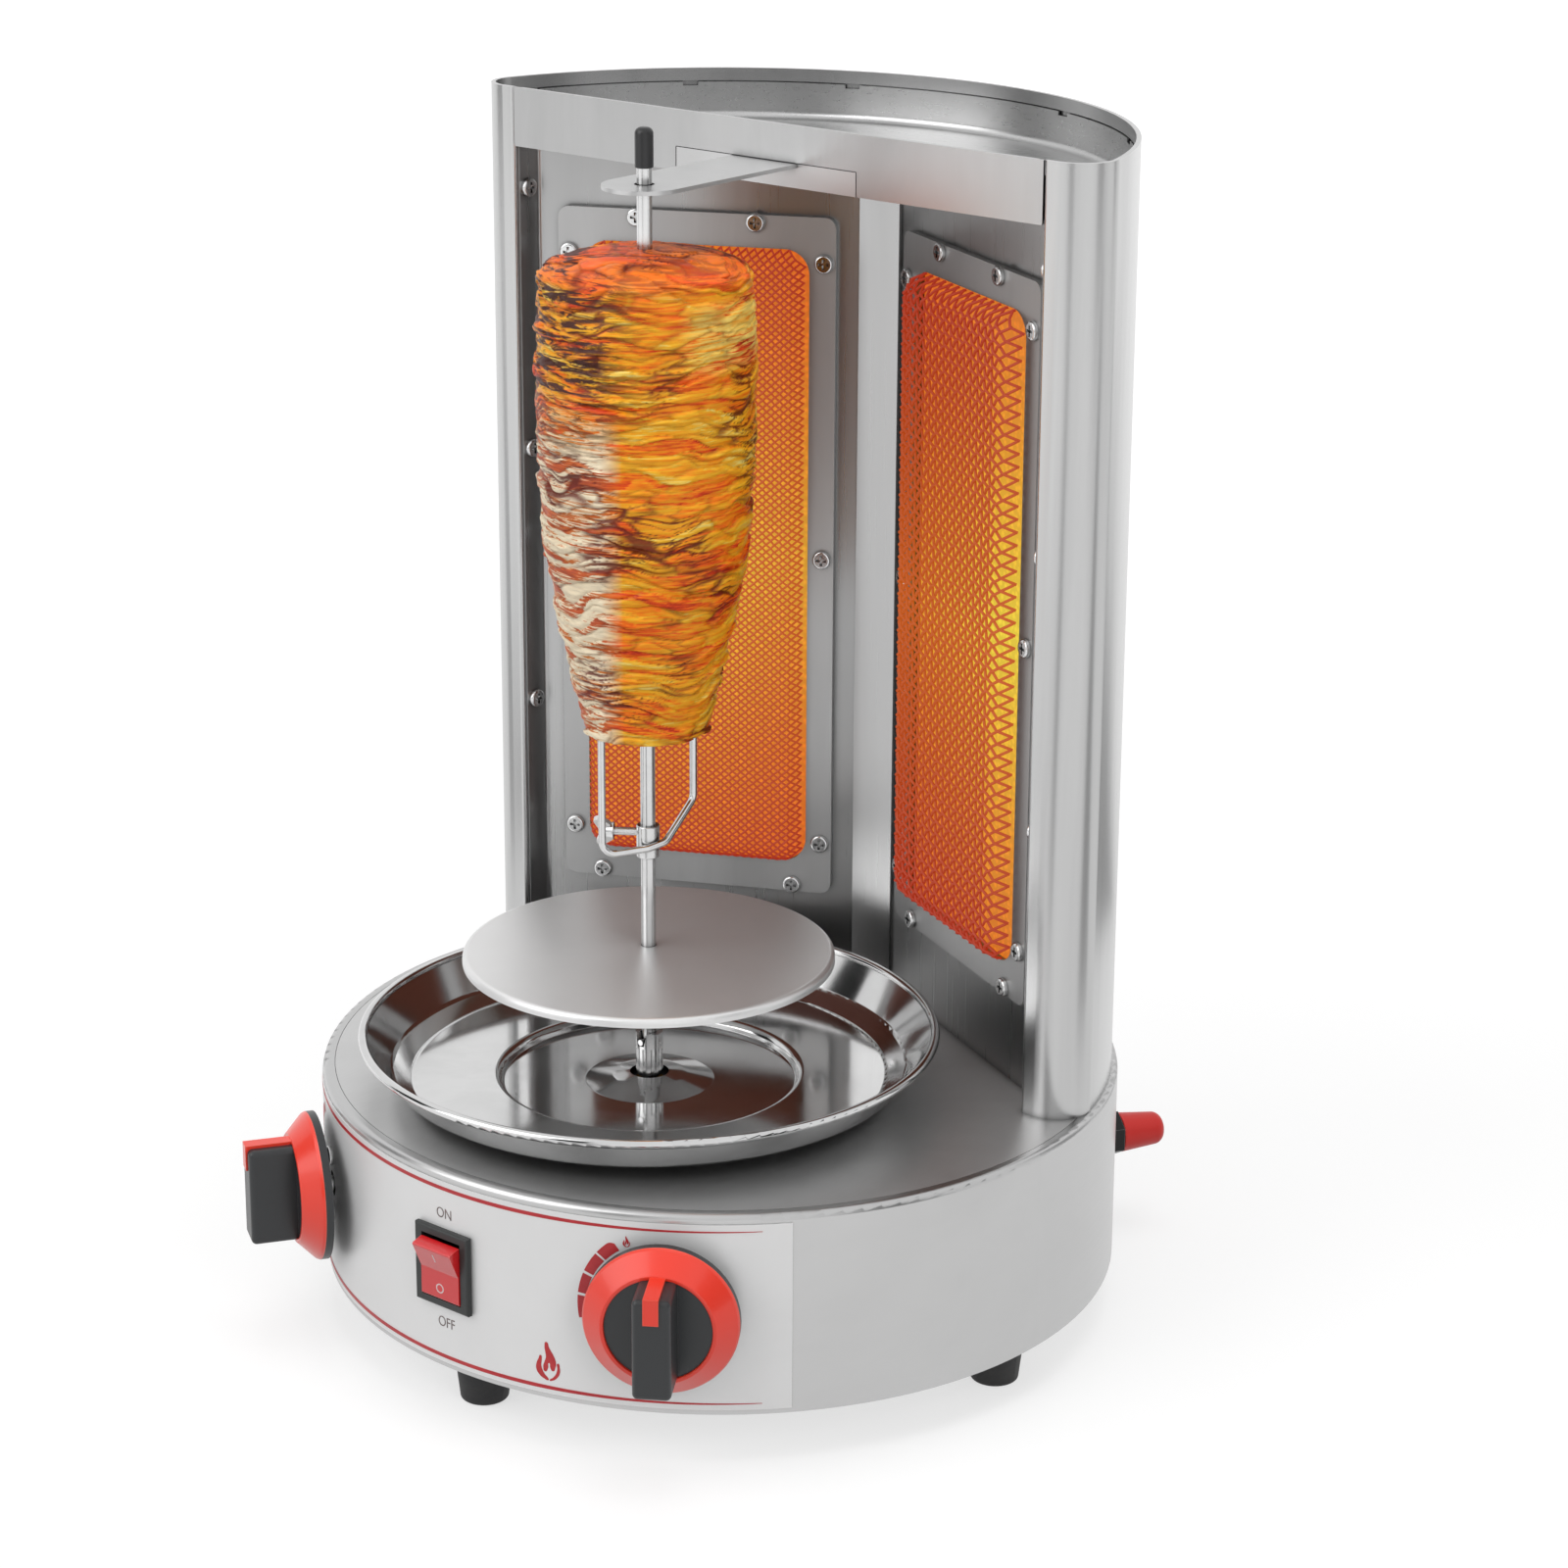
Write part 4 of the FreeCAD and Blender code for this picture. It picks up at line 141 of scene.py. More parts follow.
def softbox(name, place, aim, size, power):
    """A square lamp that points at a spot on the object."""
    lamp = bpy.data.lights.new(name, "AREA")
    lamp.shape = "RECTANGLE"
    lamp.size, lamp.size_y = size
    lamp.energy = power
    holder = bpy.data.objects.new(name, lamp)
    bpy.context.scene.collection.objects.link(holder)
    holder.location = place
    holder.rotation_euler = (Vector(aim) - Vector(place)).to_track_quat("-Z", "Y").to_euler()
    return holder


softbox("key_lamp", (-0.9, -2.0, 1.7), (0, 0, 0.22), (2.2, 2.2), 27)
softbox("side_lamp", (2.1, -0.9, 1.2), (0, 0, 0.2), (0.9, 1.6), 14).visible_glossy = False
softbox("top_lamp", (0.2, 0.2, 2.4), (0, 0, 0.2), (1.6, 1.6), 20).visible_glossy = False


def dull_board(name, level):
    """The flat grey finish of a board."""
    finish = bpy.data.materials.new(name)
    finish.use_nodes = True
    shader = finish.node_tree.nodes["Principled BSDF"]
    fill_sockets(shader, {"Base Color": grey(level), "Roughness": 1.0, "Specular IOR Level": 0.0})
    return finish


def board(name, place, turn, size, finish):
    """A flat board outside the view, hidden from every ray but glossy ones."""
    bpy.ops.mesh.primitive_plane_add(size=1.0, location=place, rotation=turn)
    piece = bpy.context.object
    piece.name = name
    piece.scale = (*size, 1)
    piece.data.materials.append(finish)
    piece.visible_camera = False
    piece.visible_diffuse = False
    piece.visible_shadow = False
    piece.visible_transmission = False
    return piece


# Screens stand far out and cards lie on the floor. They give the steel its grey bands.
# Each has its bearing in degrees from the front, and its width.
SCREENS = ((12, 0.55), (96, 0.75), (150, 0.5), (300, 0.8))
SCREEN_REACH = 2.2
SCREEN_LOW, SCREEN_HIGH = 0.1, 1.6
CARDS = ((-62, 0.22), (18, 0.16), (112, 0.26), (168, 0.2))
CARD_REACH = 1.25
CARD_LENGTH = 1.5
CARD_LIFT = 0.002

screen_finish = dull_board("screen_grey", 0.03)
for number, (bearing, wide) in enumerate(SCREENS):
    angle = math.radians(bearing)
    place = (SCREEN_REACH * math.sin(angle), -SCREEN_REACH * math.cos(angle), (SCREEN_LOW + SCREEN_HIGH) / 2)
    size = (wide, SCREEN_HIGH - SCREEN_LOW)
    screen = board("screen_%d" % number, place, (math.pi / 2, 0, angle), size, screen_finish)

card_finish = dull_board("card_grey", 0.42)
for number, (bearing, wide) in enumerate(CARDS):
    angle = math.radians(bearing)
    place = (CARD_REACH * math.sin(angle), -CARD_REACH * math.cos(angle), CARD_LIFT)
    card = board("card_%d" % number, place, (0, 0, angle), (wide, CARD_LENGTH), card_finish)
bpy.ops.object.select_all(action="DESELECT")

# Steel finishes
# Stainless sheet, brushed in one direction, with faint handling marks and painted shade in the seams where sheets meet.
# Its effects and one for worn edges are shader groups, which the finishes of later pieces use as well.


def effect_group(name, inputs, outputs):
    """An empty shader group with the given sockets. Returns the group, its inputs inside, and its end node."""
    group = bpy.data.node_groups.new(name, "ShaderNodeTree")
    for label, kind, value in inputs:
        socket = group.interface.new_socket(name=label, in_out="INPUT", socket_type=kind)
        if value is not None:
            socket.default_value = value
    for label, kind in outputs:
        group.interface.new_socket(name=label, in_out="OUTPUT", socket_type=kind)
    return group, group.nodes.new("NodeGroupInput").outputs, group.nodes.new("NodeGroupOutput")


def blended(tree, amount, first, second):
    """Mixes two colours, each a socket or a value, by an amount. Inputs 6 and 7 and output 2 are the colours."""
    return add_node(tree, "Mix", {0: amount, 6: first, 7: second}, data_type="RGBA").outputs[2]


def scaled(tree, colour, share):
    """A colour or a place times one number."""
    return add_node(tree, "VectorMath", {0: colour, "Scale": share}, operation="SCALE").outputs["Vector"]


def stretched(tree, place, stretch):
    """Coordinates multiplied by their own number along each axis."""
    return add_node(tree, "VectorMath", {0: place, 1: stretch}, operation="MULTIPLY").outputs["Vector"]


# Brush lines: noise on stretched coordinates. Stretch is large across the lines and small along them.
brush_group, given, put_out = effect_group(
    "brush_lines",
    [("Place", "NodeSocketVector", None), ("Stretch", "NodeSocketVector", None),
     ("Low", "NodeSocketFloat", 0.25), ("High", "NodeSocketFloat", 0.4)],
    [("Roughness", "NodeSocketFloat"), ("Height", "NodeSocketFloat")])
line_noise = add_node(brush_group, "TexNoise", {
    "Vector": stretched(brush_group, given["Place"], given["Stretch"]),
    "Scale": 1.0, "Detail": 4.0, "Roughness": 0.65}).outputs["Fac"]
line_shine = ranged(brush_group, line_noise, 0.3, 0.7, given["Low"], given["High"])
fill_sockets(put_out, {"Roughness": line_shine, "Height": line_noise})

# Handling marks: soft clouds, as wiping and fingers leave on steel and plastic.
marks_group, given, put_out = effect_group(
    "handling_marks",
    [("Place", "NodeSocketVector", None), ("Size", "NodeSocketFloat", 14.0),
     ("Clean", "NodeSocketColor", None), ("Marked", "NodeSocketColor", None)],
    [("Mask", "NodeSocketFloat"), ("Color", "NodeSocketColor")])
cloud = add_node(marks_group, "TexNoise", {
    "Vector": given["Place"], "Scale": given["Size"],
    "Detail": 5.0, "Roughness": 0.62, "Distortion": 0.6}).outputs["Fac"]
marked_share = ranged(marks_group, cloud, 0.42, 0.72)
fill_sockets(put_out, {
    "Mask": marked_share, "Color": blended(marks_group, marked_share, given["Clean"], given["Marked"])})

# Worn edges: where a rounded normal leaves the true one, the surface is near an edge.
edge_group, given, put_out = effect_group(
    "worn_edges",
    [("Radius", "NodeSocketFloat", 0.0006), ("Plain", "NodeSocketColor", None), ("Worn", "NodeSocketColor", None)],
    [("Mask", "NodeSocketFloat"), ("Color", "NodeSocketColor")])
round_normal = add_node(edge_group, "Bevel", {"Radius": given["Radius"]}, samples=4).outputs["Normal"]
true_normal = add_node(edge_group, "NewGeometry", {}).outputs["True Normal"]
likeness = add_node(edge_group, "VectorMath", {0: round_normal, 1: true_normal}, operation="DOT_PRODUCT")
worn_share = ranged(edge_group, likeness.outputs["Value"], 0.98, 0.80)
fill_sockets(put_out, {
    "Mask": worn_share, "Color": blended(edge_group, worn_share, given["Plain"], given["Worn"])})

# Seams: painted shade. Where sheets meet little light gets in, so an occlusion test darkens the colour there.
seam_group, given, put_out = effect_group(
    "seam_shade",
    [("Reach", "NodeSocketFloat", 0.005), ("Depth", "NodeSocketFloat", 0.7), ("Plain", "NodeSocketColor", None)],
    [("Color", "NodeSocketColor")])
openness = add_node(seam_group, "AmbientOcclusion", {"Distance": given["Reach"]}, samples=6).outputs["AO"]
darkest = calculated(seam_group, "SUBTRACT", 1.0, given["Depth"])
fill_sockets(put_out, {
    "Color": scaled(seam_group, given["Plain"], ranged(seam_group, openness, 0.2, 0.85, darkest))})


def marked_colour(tree, place, size, clean, marked):
    """A clean colour with handling marks in another."""
    sockets = {"Place": place, "Size": size, "Clean": clean, "Marked": marked}
    return add_node(tree, "Group", sockets, node_tree=marks_group).outputs["Color"]


def worn_colour(tree, radius, plain, worn):
    """A colour that is worn to another along the edges."""
    sockets = {"Radius": radius, "Plain": plain, "Worn": worn}
    return add_node(tree, "Group", sockets, node_tree=edge_group).outputs["Color"]


def bumped(tree, height, strength, depth):
    """The normal of a surface that a height raises by up to a depth in metres."""
    return add_node(tree, "Bump", {"Height": height, "Strength": strength, "Distance": depth}).outputs["Normal"]


def plain_finish(name, roughness, metallic=0.0, coat=0.0):
    """A new finish with its node tree, its shader and its Object coordinates."""
    finish = bpy.data.materials.new(name)
    finish.use_nodes = True
    tree = finish.node_tree
    shader = tree.nodes["Principled BSDF"]
    fill_sockets(shader, {"Roughness": roughness, "Metallic": metallic, "Coat Weight": coat})
    return finish, tree, shader, add_node(tree, "TexCoord", {}).outputs["Object"]


def sheet_steel(name, colour, marked, stretch, rough, metallic=1.0, lift=0.00002, cloud=11.0, run=(1.0, 1.0, 1.0)):
    """Brushed stainless sheet: lines along one axis, faint marks in its colour drawn out along a run, and painted shade
    in its seams.
    """
    finish, tree, shader, place = plain_finish(name, rough[0], metallic)
    brush = add_node(tree, "Group", {
        "Place": place, "Stretch": stretch, "Low": rough[0], "High": rough[1]}, node_tree=brush_group).outputs
    marks = marked_colour(tree, stretched(tree, place, run), cloud, colour, marked)
    # Painted shade: the colour is darkened where other surfaces close in, as at seams and gaps.
    painted_seam_shade = add_node(tree, "Group", {"Depth": 0.75, "Plain": marks}, node_tree=seam_group)
    fill_sockets(shader, {
        "Base Color": painted_seam_shade.outputs["Color"], "Roughness": brush["Roughness"],
        "Normal": bumped(tree, brush["Height"], 0.06, lift)})
    return finish


def dress(finish, *names):
    """Gives a finish to whole CAD nodes."""
    for name in names:
        node = nodes[name]
        node.data.materials.clear()
        node.data.materials.append(finish)


# Drum base
# The drum wall is one strip of stainless steel with its lip rolled over the deck, brushed round the drum.
# The deck is darker satin steel, and the floor pan below is plain sheet.
drum_steel = sheet_steel("drum_steel", grey(0.53), grey(0.50), (14, 14, 900), (0.28, 0.33), run=(0.6, 0.6, 1.0))
dress(drum_steel, "base_shell")
deck_steel = sheet_steel("deck_steel", grey(0.60), grey(0.52), (900, 60, 60), (0.34, 0.42), metallic=0.85, cloud=7.0)
dress(deck_steel, "base_top_plate")
pan_steel = sheet_steel("pan_steel", grey(0.50), grey(0.42), (40, 500, 40), (0.38, 0.5))
dress(pan_steel, "bottom_cover")

# Feet
# Four moulded rubber feet, each held by a plated screw from below with its nut inside the drum.
foot_rubber, tree, shader, place = plain_finish("foot_rubber", 0.62)
skin = add_node(tree, "TexNoise", {"Vector": place, "Scale": 1400.0}).outputs["Fac"]
fill_sockets(shader, {
    "Base Color": marked_colour(tree, place, 60.0, (0.012, 0.012, 0.013, 1), (0.030, 0.029, 0.028, 1)),
    "Normal": bumped(tree, skin, 0.3, 0.0002)})
dress(foot_rubber, "rubber_feet")


def plated(name, colour, worn, rough, recess=0.6):
    """Small bright turned or plated metal with lighter edges and painted shade in its recesses."""
    finish, tree, shader, place = plain_finish(name, rough, metallic=1.0)
    # Painted shade: the seam group darkens the colour in recesses, such as the crosses of screw heads.
    painted_recess_shade = add_node(tree, "Group", {
        "Reach": 0.0012, "Depth": recess, "Plain": worn_colour(tree, 0.0003, colour, worn)}, node_tree=seam_group)
    shine = marked_colour(tree, place, 180.0, grey(rough), grey(rough + 0.12))
    level = add_node(tree, "RGBToBW", {"Color": shine})
    fill_sockets(shader, {"Base Color": painted_recess_shade.outputs["Color"], "Roughness": level.outputs["Val"]})
    return finish


# The screw heads take deep painted shade in their cross recesses.
screw_plate = plated("screw_plate", grey(0.70), grey(0.88), 0.16, recess=0.95)
dress(screw_plate, "foot_fasteners", "valve_screws", "motor_screws", "housing_fasteners", "burner_screws")

# Front label
# A printed silver sheet is wrapped round the front of the drum, from one side of the knobs to the other.
# It has a fine satin face, lighter than the steel beside it.
LABEL_R = 0.1554
label_face, tree, shader, place = plain_finish("label_face", 0.42, metallic=0.25)
label_grain = add_node(tree, "Group", {
    "Place": place, "Stretch": (900, 900, 900), "Low": 0.36, "High": 0.50}, node_tree=brush_group)
fill_sockets(shader, {
    "Base Color": marked_colour(tree, place, 9.0, grey(0.80), grey(0.76)),
    "Roughness": label_grain.outputs["Roughness"]})
dress(label_face, "control_label")

# Printed marks
# Two tapering red lines, a flame sign, the heat scale beside each knob, and ON and OFF at the switch.
# Each is a thin film of screen-printed ink that follows the curve of the label.
INK_FILM = 0.00007
INK_GAP = 0.00003
# Where the knobs stand, as a distance round the label from its middle
KNOB_PLACES = (("right", math.radians(33.0) * LABEL_R), ("left", math.radians(-33.0) * LABEL_R))
KNOB_Z = 0.060


def print_ink(name, colour, faded):
    """Screen-printed ink: nearly flat colour with slight thin places."""
    finish, tree, shader, place = plain_finish(name, 0.4)
    fill_sockets(shader, {"Base Color": marked_colour(tree, place, 90.0, colour, faded)})
    return finish


red_ink = print_ink("red_ink", (0.46, 0.018, 0.025, 1), (0.54, 0.035, 0.04, 1))
grey_ink = print_ink("grey_ink", (0.16, 0.12, 0.115, 1), (0.24, 0.20, 0.19, 1))


def thicken(piece, film, side):
    """Gives a flat mark its film: outwards from the drawn face with side 1, or to both sides of it with 0."""
    solid = piece.modifiers.new("film", "SOLIDIFY")
    solid.thickness = film
    solid.offset = side
    bpy.context.view_layer.objects.active = piece
    piece.select_set(True)
    bpy.ops.object.modifier_apply(modifier="film")
    piece.select_set(False)


def lay_on_label(piece, ink):
    """Wraps a flat piece, drawn in metres in X and Z with X along the label, round the drum and thickens it."""
    shape = bmesh.new()
    shape.from_mesh(piece.data)
    radius = LABEL_R + INK_GAP
    for corner in shape.verts:
        turn = corner.co.x / LABEL_R
        corner.co = Vector((radius * math.sin(turn), -radius * math.cos(turn), corner.co.z))
    shape.normal_update()
    for face in shape.faces:
        middle = face.calc_center_median()
        if face.normal.dot(Vector((middle.x, middle.y, 0))) < 0:
            face.normal_flip()
    shape.to_mesh(piece.data)
    shape.free()
    thicken(piece, INK_FILM, 1.0)
    piece.data.materials.clear()
    piece.data.materials.append(ink)
    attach(piece, "housing")


def drawn_strip(name, stations):
    """A flat strip through stations of (x, low z, high z)."""
    bpy.ops.mesh.primitive_grid_add(x_subdivisions=len(stations) - 1, y_subdivisions=1, size=2.0)
    strip = bpy.context.object
    strip.name = name
    columns = {}
    for corner in strip.data.vertices:
        columns.setdefault(round((corner.co.x + 1) / 2 * (len(stations) - 1)), []).append(corner)
    for index, (x, low, high) in enumerate(stations):
        below, above = sorted(columns[index], key=lambda corner: corner.co.y)
        below.co = (x, 0, low)
        above.co = (x, 0, high)
    strip.select_set(False)
    return strip


# The lines run from one end of the label to the other, and taper at both ends. Turns are in degrees.
LINE_START, LINE_SWEEP, LINE_STEPS = -49.0, 95.0, 80
LINE_HALF, LINE_POINT = 0.00066, 0.00008
for name, height in (("upper_line", 0.0913), ("lower_line", 0.0235)):
    stations = []
    for step in range(LINE_STEPS + 1):
        turn = LINE_START + LINE_SWEEP * step / LINE_STEPS
        taper = min(1.0, (46.5 - turn) / 32.0, (turn + 50.0) / 12.0)
        half = LINE_HALF * max(taper, 0.0) ** 0.8 + LINE_POINT
        stations.append((math.radians(turn) * LABEL_R, height - half, height + half))
    lay_on_label(drawn_strip(name, stations), red_ink)

# The scale runs round the knob as four blocks, whose first has a rounded start.
# Each has its start and end in degrees, and its inner radius there in millimetres.
SCALE_BLOCKS = ((36, 50, 27.6, 27.9), (51.5, 66.5, 28.0, 28.4), (68.5, 83, 28.5, 28.9), (85, 101, 29.0, 30.6))
SCALE_OUTER = 32.2
for side, centre in KNOB_PLACES:
    for number, (start, end, inner_start, inner_end) in enumerate(SCALE_BLOCKS):
        bpy.ops.mesh.primitive_grid_add(x_subdivisions=10, y_subdivisions=3, size=2.0)
        piece = bpy.context.object
        piece.name = "%s_scale_%d" % (side, number)
        for corner in piece.data.vertices:
            along, across = (corner.co.x + 1) / 2, (corner.co.y + 1) / 2
            angle = math.radians(start + (end - start) * along)
            inner = inner_start + (inner_end - inner_start) * along
            outer = SCALE_OUTER
            if number == 0:
                outer -= 1.6 * max(0.0, 1 - along * 3.2) ** 2
            radius = (inner + (outer - inner) * across) / 1000
            corner.co = (centre - radius * math.sin(angle), 0, KNOB_Z + radius * math.cos(angle))
        piece.select_set(False)
        lay_on_label(piece, red_ink)

# The flame sign is three tongues, drawn as closed outlines in millimetres and filled.
FLAME_TONGUES = (
    ((-0.4, 15.5), (0.9, 13.2), (2.5, 10.6), (3.4, 8.0), (3.2, 6.0), (2.2, 4.4), (1.2, 5.6), (0.7, 7.4),
     (0.3, 5.4), (-0.9, 3.8), (-1.6, 5.6), (-1.1, 7.6), (-0.5, 9.6), (-0.8, 12.0), (-1.0, 13.8)),
    ((-2.6, 9.9), (-2.2, 8.2), (-2.4, 6.2), (-2.0, 4.4), (-1.0, 2.6), (0.2, 1.4), (0.5, 0.7), (-1.4, 1.0),
     (-3.2, 2.2), (-4.4, 4.2), (-4.3, 6.4), (-3.5, 8.4)),
    ((4.2, 7.8), (4.9, 6.0), (4.8, 3.8), (3.6, 1.8), (1.8, 0.6), (0.9, 0.5), (2.2, 1.9), (3.3, 3.4), (3.9, 5.4)),
)


def flame_sign(name, middle, foot, size):
    """Draws the flame with its foot at a height on the label, at size times its drawn millimetres."""
    drawing = bpy.data.curves.new(name, "CURVE")
    drawing.dimensions = "2D"
    drawing.fill_mode = "BOTH"
    drawing.resolution_u = 6
    for outline in FLAME_TONGUES:
        line = drawing.splines.new("BEZIER")
        line.bezier_points.add(len(outline) - 1)
        for point, (x, z) in zip(line.bezier_points, outline):
            point.co = (x * size / 1000, z * size / 1000, 0)
            point.handle_left_type = point.handle_right_type = "AUTO"
        line.use_cyclic_u = True
    sign = bpy.data.objects.new(name, drawing)
    bpy.context.scene.collection.objects.link(sign)
    bpy.context.view_layer.objects.active = sign
    sign.select_set(True)
    bpy.ops.object.convert(target="MESH")
    sign = bpy.context.object
    for corner in sign.data.vertices:
        corner.co = (corner.co.x + middle, 0, corner.co.y + foot)
    sign.select_set(False)
    return sign


lay_on_label(flame_sign("flame_sign", math.radians(16.6) * LABEL_R, 0.0258, 1.02), red_ink)
for side, centre in KNOB_PLACES:
    lay_on_label(flame_sign(side + "_small_flame", centre - 0.0137, 0.0838, 0.28), red_ink)

# Letters are thinned, narrowed and set closer than the font has them, as shares of its own sizes.
CAPITAL_SHARE = 0.72
LETTER_THINNED = 0.012
LETTER_WIDTH = 0.86
LETTER_SPACING = 0.96


def printed_word(name, text, middle, foot, height):
    """A word in plain thin capitals, made a mesh and centred on the label."""
    bpy.ops.object.text_add(location=(0, 0, 0))
    word = bpy.context.object
    word.name = name
    word.data.body = text
    word.data.size = height / CAPITAL_SHARE
    word.data.align_x = "CENTER"
    word.data.offset = -height * LETTER_THINNED
    word.data.space_character = LETTER_SPACING
    bpy.ops.object.convert(target="MESH")
    word = bpy.context.object
    for corner in word.data.vertices:
        corner.co = (corner.co.x * LETTER_WIDTH + middle, 0, corner.co.y + foot)
    word.select_set(False)
    return word


lay_on_label(printed_word("word_on", "ON", 0.0, 0.0795, 0.0042), grey_ink)
lay_on_label(printed_word("word_off", "OFF", 0.0, 0.0355, 0.0042), grey_ink)

# Mains switch
# A black moulded bezel and body clipped into the drum, with a glossy red rocker on a steel pin.
# The rocker carries a stroke for on and a ring for off.
ROCKER_PIVOT = Vector((0.0, -0.1549, 0.060))
ROCKER_RISE = 0.0036
ROCKER_TILT = 12.0
MARK_REACH = 0.0068
MARK_PROUD = 0.00004
MARK_FILM = 0.00012


def moulded(name, colour, worn, rough, grain, coat=0.0):
    """Moulded plastic: fine skin, slightly lighter edges, uneven shine."""
    finish, tree, shader, place = plain_finish(name, rough, coat=coat)
    skin = add_node(tree, "TexNoise", {"Vector": place, "Scale": grain, "Detail": 3.0}).outputs["Fac"]
    fill_sockets(shader, {
        "Base Color": worn_colour(tree, 0.0005, colour, worn),
        "Roughness": ranged(tree, skin, 0.0, 1.0, rough - 0.06, rough + 0.08),
        "Normal": bumped(tree, skin, 0.25, 0.00008),
        "Coat Roughness": 0.12})
    return finish


bezel_black = moulded("bezel_black", (0.020, 0.022, 0.022, 1), (0.05, 0.052, 0.052, 1), 0.46, 1500)
dress(bezel_black, "switch_housing", "cord_gland")
rocker_red = moulded("rocker_red", (0.66, 0.012, 0.016, 1), (0.85, 0.09, 0.08, 1), 0.22, 600, coat=0.5)
dress(rocker_red, "power_rocker")
mark_white = print_ink("mark_white", (0.80, 0.62, 0.62, 1), (0.74, 0.50, 0.50, 1))


def mark_on_rocker(piece, along, tilt):
    """Sets a flat mark, drawn about the origin in X and Z, on one face of the rocker at rest."""
    face_turn = Matrix.Rotation(math.radians(tilt), 4, "X")
    rest_turn = Matrix.Rotation(math.radians(ROCKER_TILT), 4, "X")
    for corner in piece.data.vertices:
        drawn = Vector((corner.co.x, 0.0, corner.co.z + along))
        lifted = face_turn @ drawn + Vector((0, -ROCKER_RISE - MARK_PROUD, 0))
        corner.co = ROCKER_PIVOT + rest_turn @ lifted
    thicken(piece, MARK_FILM, 0.0)
    piece.data.materials.append(mark_white)
    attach(piece, "rocker")


bpy.ops.mesh.primitive_circle_add(vertices=40, radius=0.0019, fill_type="NGON", rotation=(math.pi / 2, 0, 0))
off_mark = bpy.context.object
off_mark.name = "off_mark"
bpy.ops.object.transform_apply(location=False, rotation=True, scale=False)
bpy.ops.object.mode_set(mode="EDIT")
bpy.ops.mesh.select_all(action="SELECT")
bpy.ops.mesh.inset(thickness=0.0005, use_boundary=True)
bpy.ops.mesh.delete(type="FACE")
bpy.ops.object.mode_set(mode="OBJECT")
off_mark.select_set(False)
mark_on_rocker(off_mark, -MARK_REACH, -ROCKER_TILT)
on_mark = drawn_strip("on_mark", [(-0.0003, -0.0019, 0.0019), (0.0003, -0.0019, 0.0019)])
mark_on_rocker(on_mark, MARK_REACH, ROCKER_TILT)

# Knobs
# Each knob is a black moulding with a bright red conical ring pressed on, whose pointer runs over the grip.
# It sits on the flatted stem of a gas valve and turns a finger's width off the label.
knob_red = moulded("knob_red", (0.84, 0.040, 0.018, 1), (0.92, 0.13, 0.07, 1), 0.30, 900, coat=0.25)
dress(knob_red, "right_knob_ring", "left_knob_ring")
knob_black = moulded("knob_black", (0.022, 0.024, 0.026, 1), (0.06, 0.062, 0.064, 1), 0.36, 1100)
dress(knob_black, "right_knob_grip", "left_knob_grip")

# Gas inlet
# A brass hose nipple comes through the drum at the right rear, held by a black nut and closed by a soft red cap.
# The valves and the injectors on the same gas line are turned brass as well.
cap_red = moulded("cap_red", (0.60, 0.02, 0.015, 1), (0.75, 0.10, 0.06, 1), 0.42, 500)
dress(cap_red, "inlet_cap")
nut_black = plated("nut_black", grey(0.03), grey(0.25), 0.34)
dress(nut_black, "inlet_nut")
brass = plated("turned_brass", (0.60, 0.42, 0.17, 1), (0.80, 0.62, 0.32, 1), 0.26)
dress(brass, "gas_nipple", "injectors")
for side in ("right", "left"):
    dress(brass, side + "_valve_body", side + "_valve_plunger")

# Housing
# The casing is one stainless sheet wrapped round the back and bent in at the front columns, brushed upright.
# The band across the top is notched for the bracket that steadies the spit.
case_steel = sheet_steel(
    "case_steel", grey(0.54), grey(0.45), (600, 600, 9), (0.23, 0.27), cloud=22.0, run=(1.0, 1.0, 0.05))
dress(case_steel, "rear_casing")
band_steel = sheet_steel(
    "band_steel", grey(0.49), grey(0.43), (900, 900, 26), (0.28, 0.38), cloud=14.0, run=(1.0, 1.0, 0.3))
dress(band_steel, "front_band")
bracket_steel = sheet_steel("bracket_steel", grey(0.56), grey(0.50), (40, 900, 40), (0.32, 0.36))
dress(bracket_steel, "spit_bracket", "recess_ceiling")
top_steel = sheet_steel("top_steel", grey(0.55), grey(0.47), (30, 900, 900), (0.26, 0.32), cloud=8.0)
dress(top_steel, "warming_tray")
panel_steel = sheet_steel(
    "panel_steel", grey(0.47), grey(0.42), (500, 500, 8), (0.27, 0.29), cloud=20.0, run=(1.0, 1.0, 0.06))
dress(panel_steel, "right_inner_panel", "left_inner_panel", "centre_strip")

# Burner frames
# Pressed steel frames clamp the wire guards against the panels, each with screws round its rim.
# Their edges are turned back.
frame_steel = sheet_steel(
    "frame_steel", grey(0.50), grey(0.43), (1200, 1200, 14), (0.40, 0.43), cloud=18.0, run=(1.0, 1.0, 0.1))
dress(frame_steel, "right_burner_frame", "left_burner_frame")

# Glowing plaques
# Each burner has a pair of ceramic plaques behind its guard, full of small holes in which the gas burns.
# They glow yellow-orange at the middle of their height, and red at the ends and towards the machine's middle.
PLAQUE_LOW, PLAQUE_HIGH = 0.140, 0.404


def colour_ramp(tree, amount, stops):
    """Colours along an amount, through stops of a position and a colour."""
    node = add_node(tree, "ValToRGB", {"Fac": amount})
    elements = node.color_ramp.elements
    for element, (position, colour) in ((elements[0], stops[0]), (elements[1], stops[-1])):
        element.position = position
        element.color = colour
    for position, colour in stops[1:-1]:
        elements.new(position).color = colour
    return node.outputs["Color"]


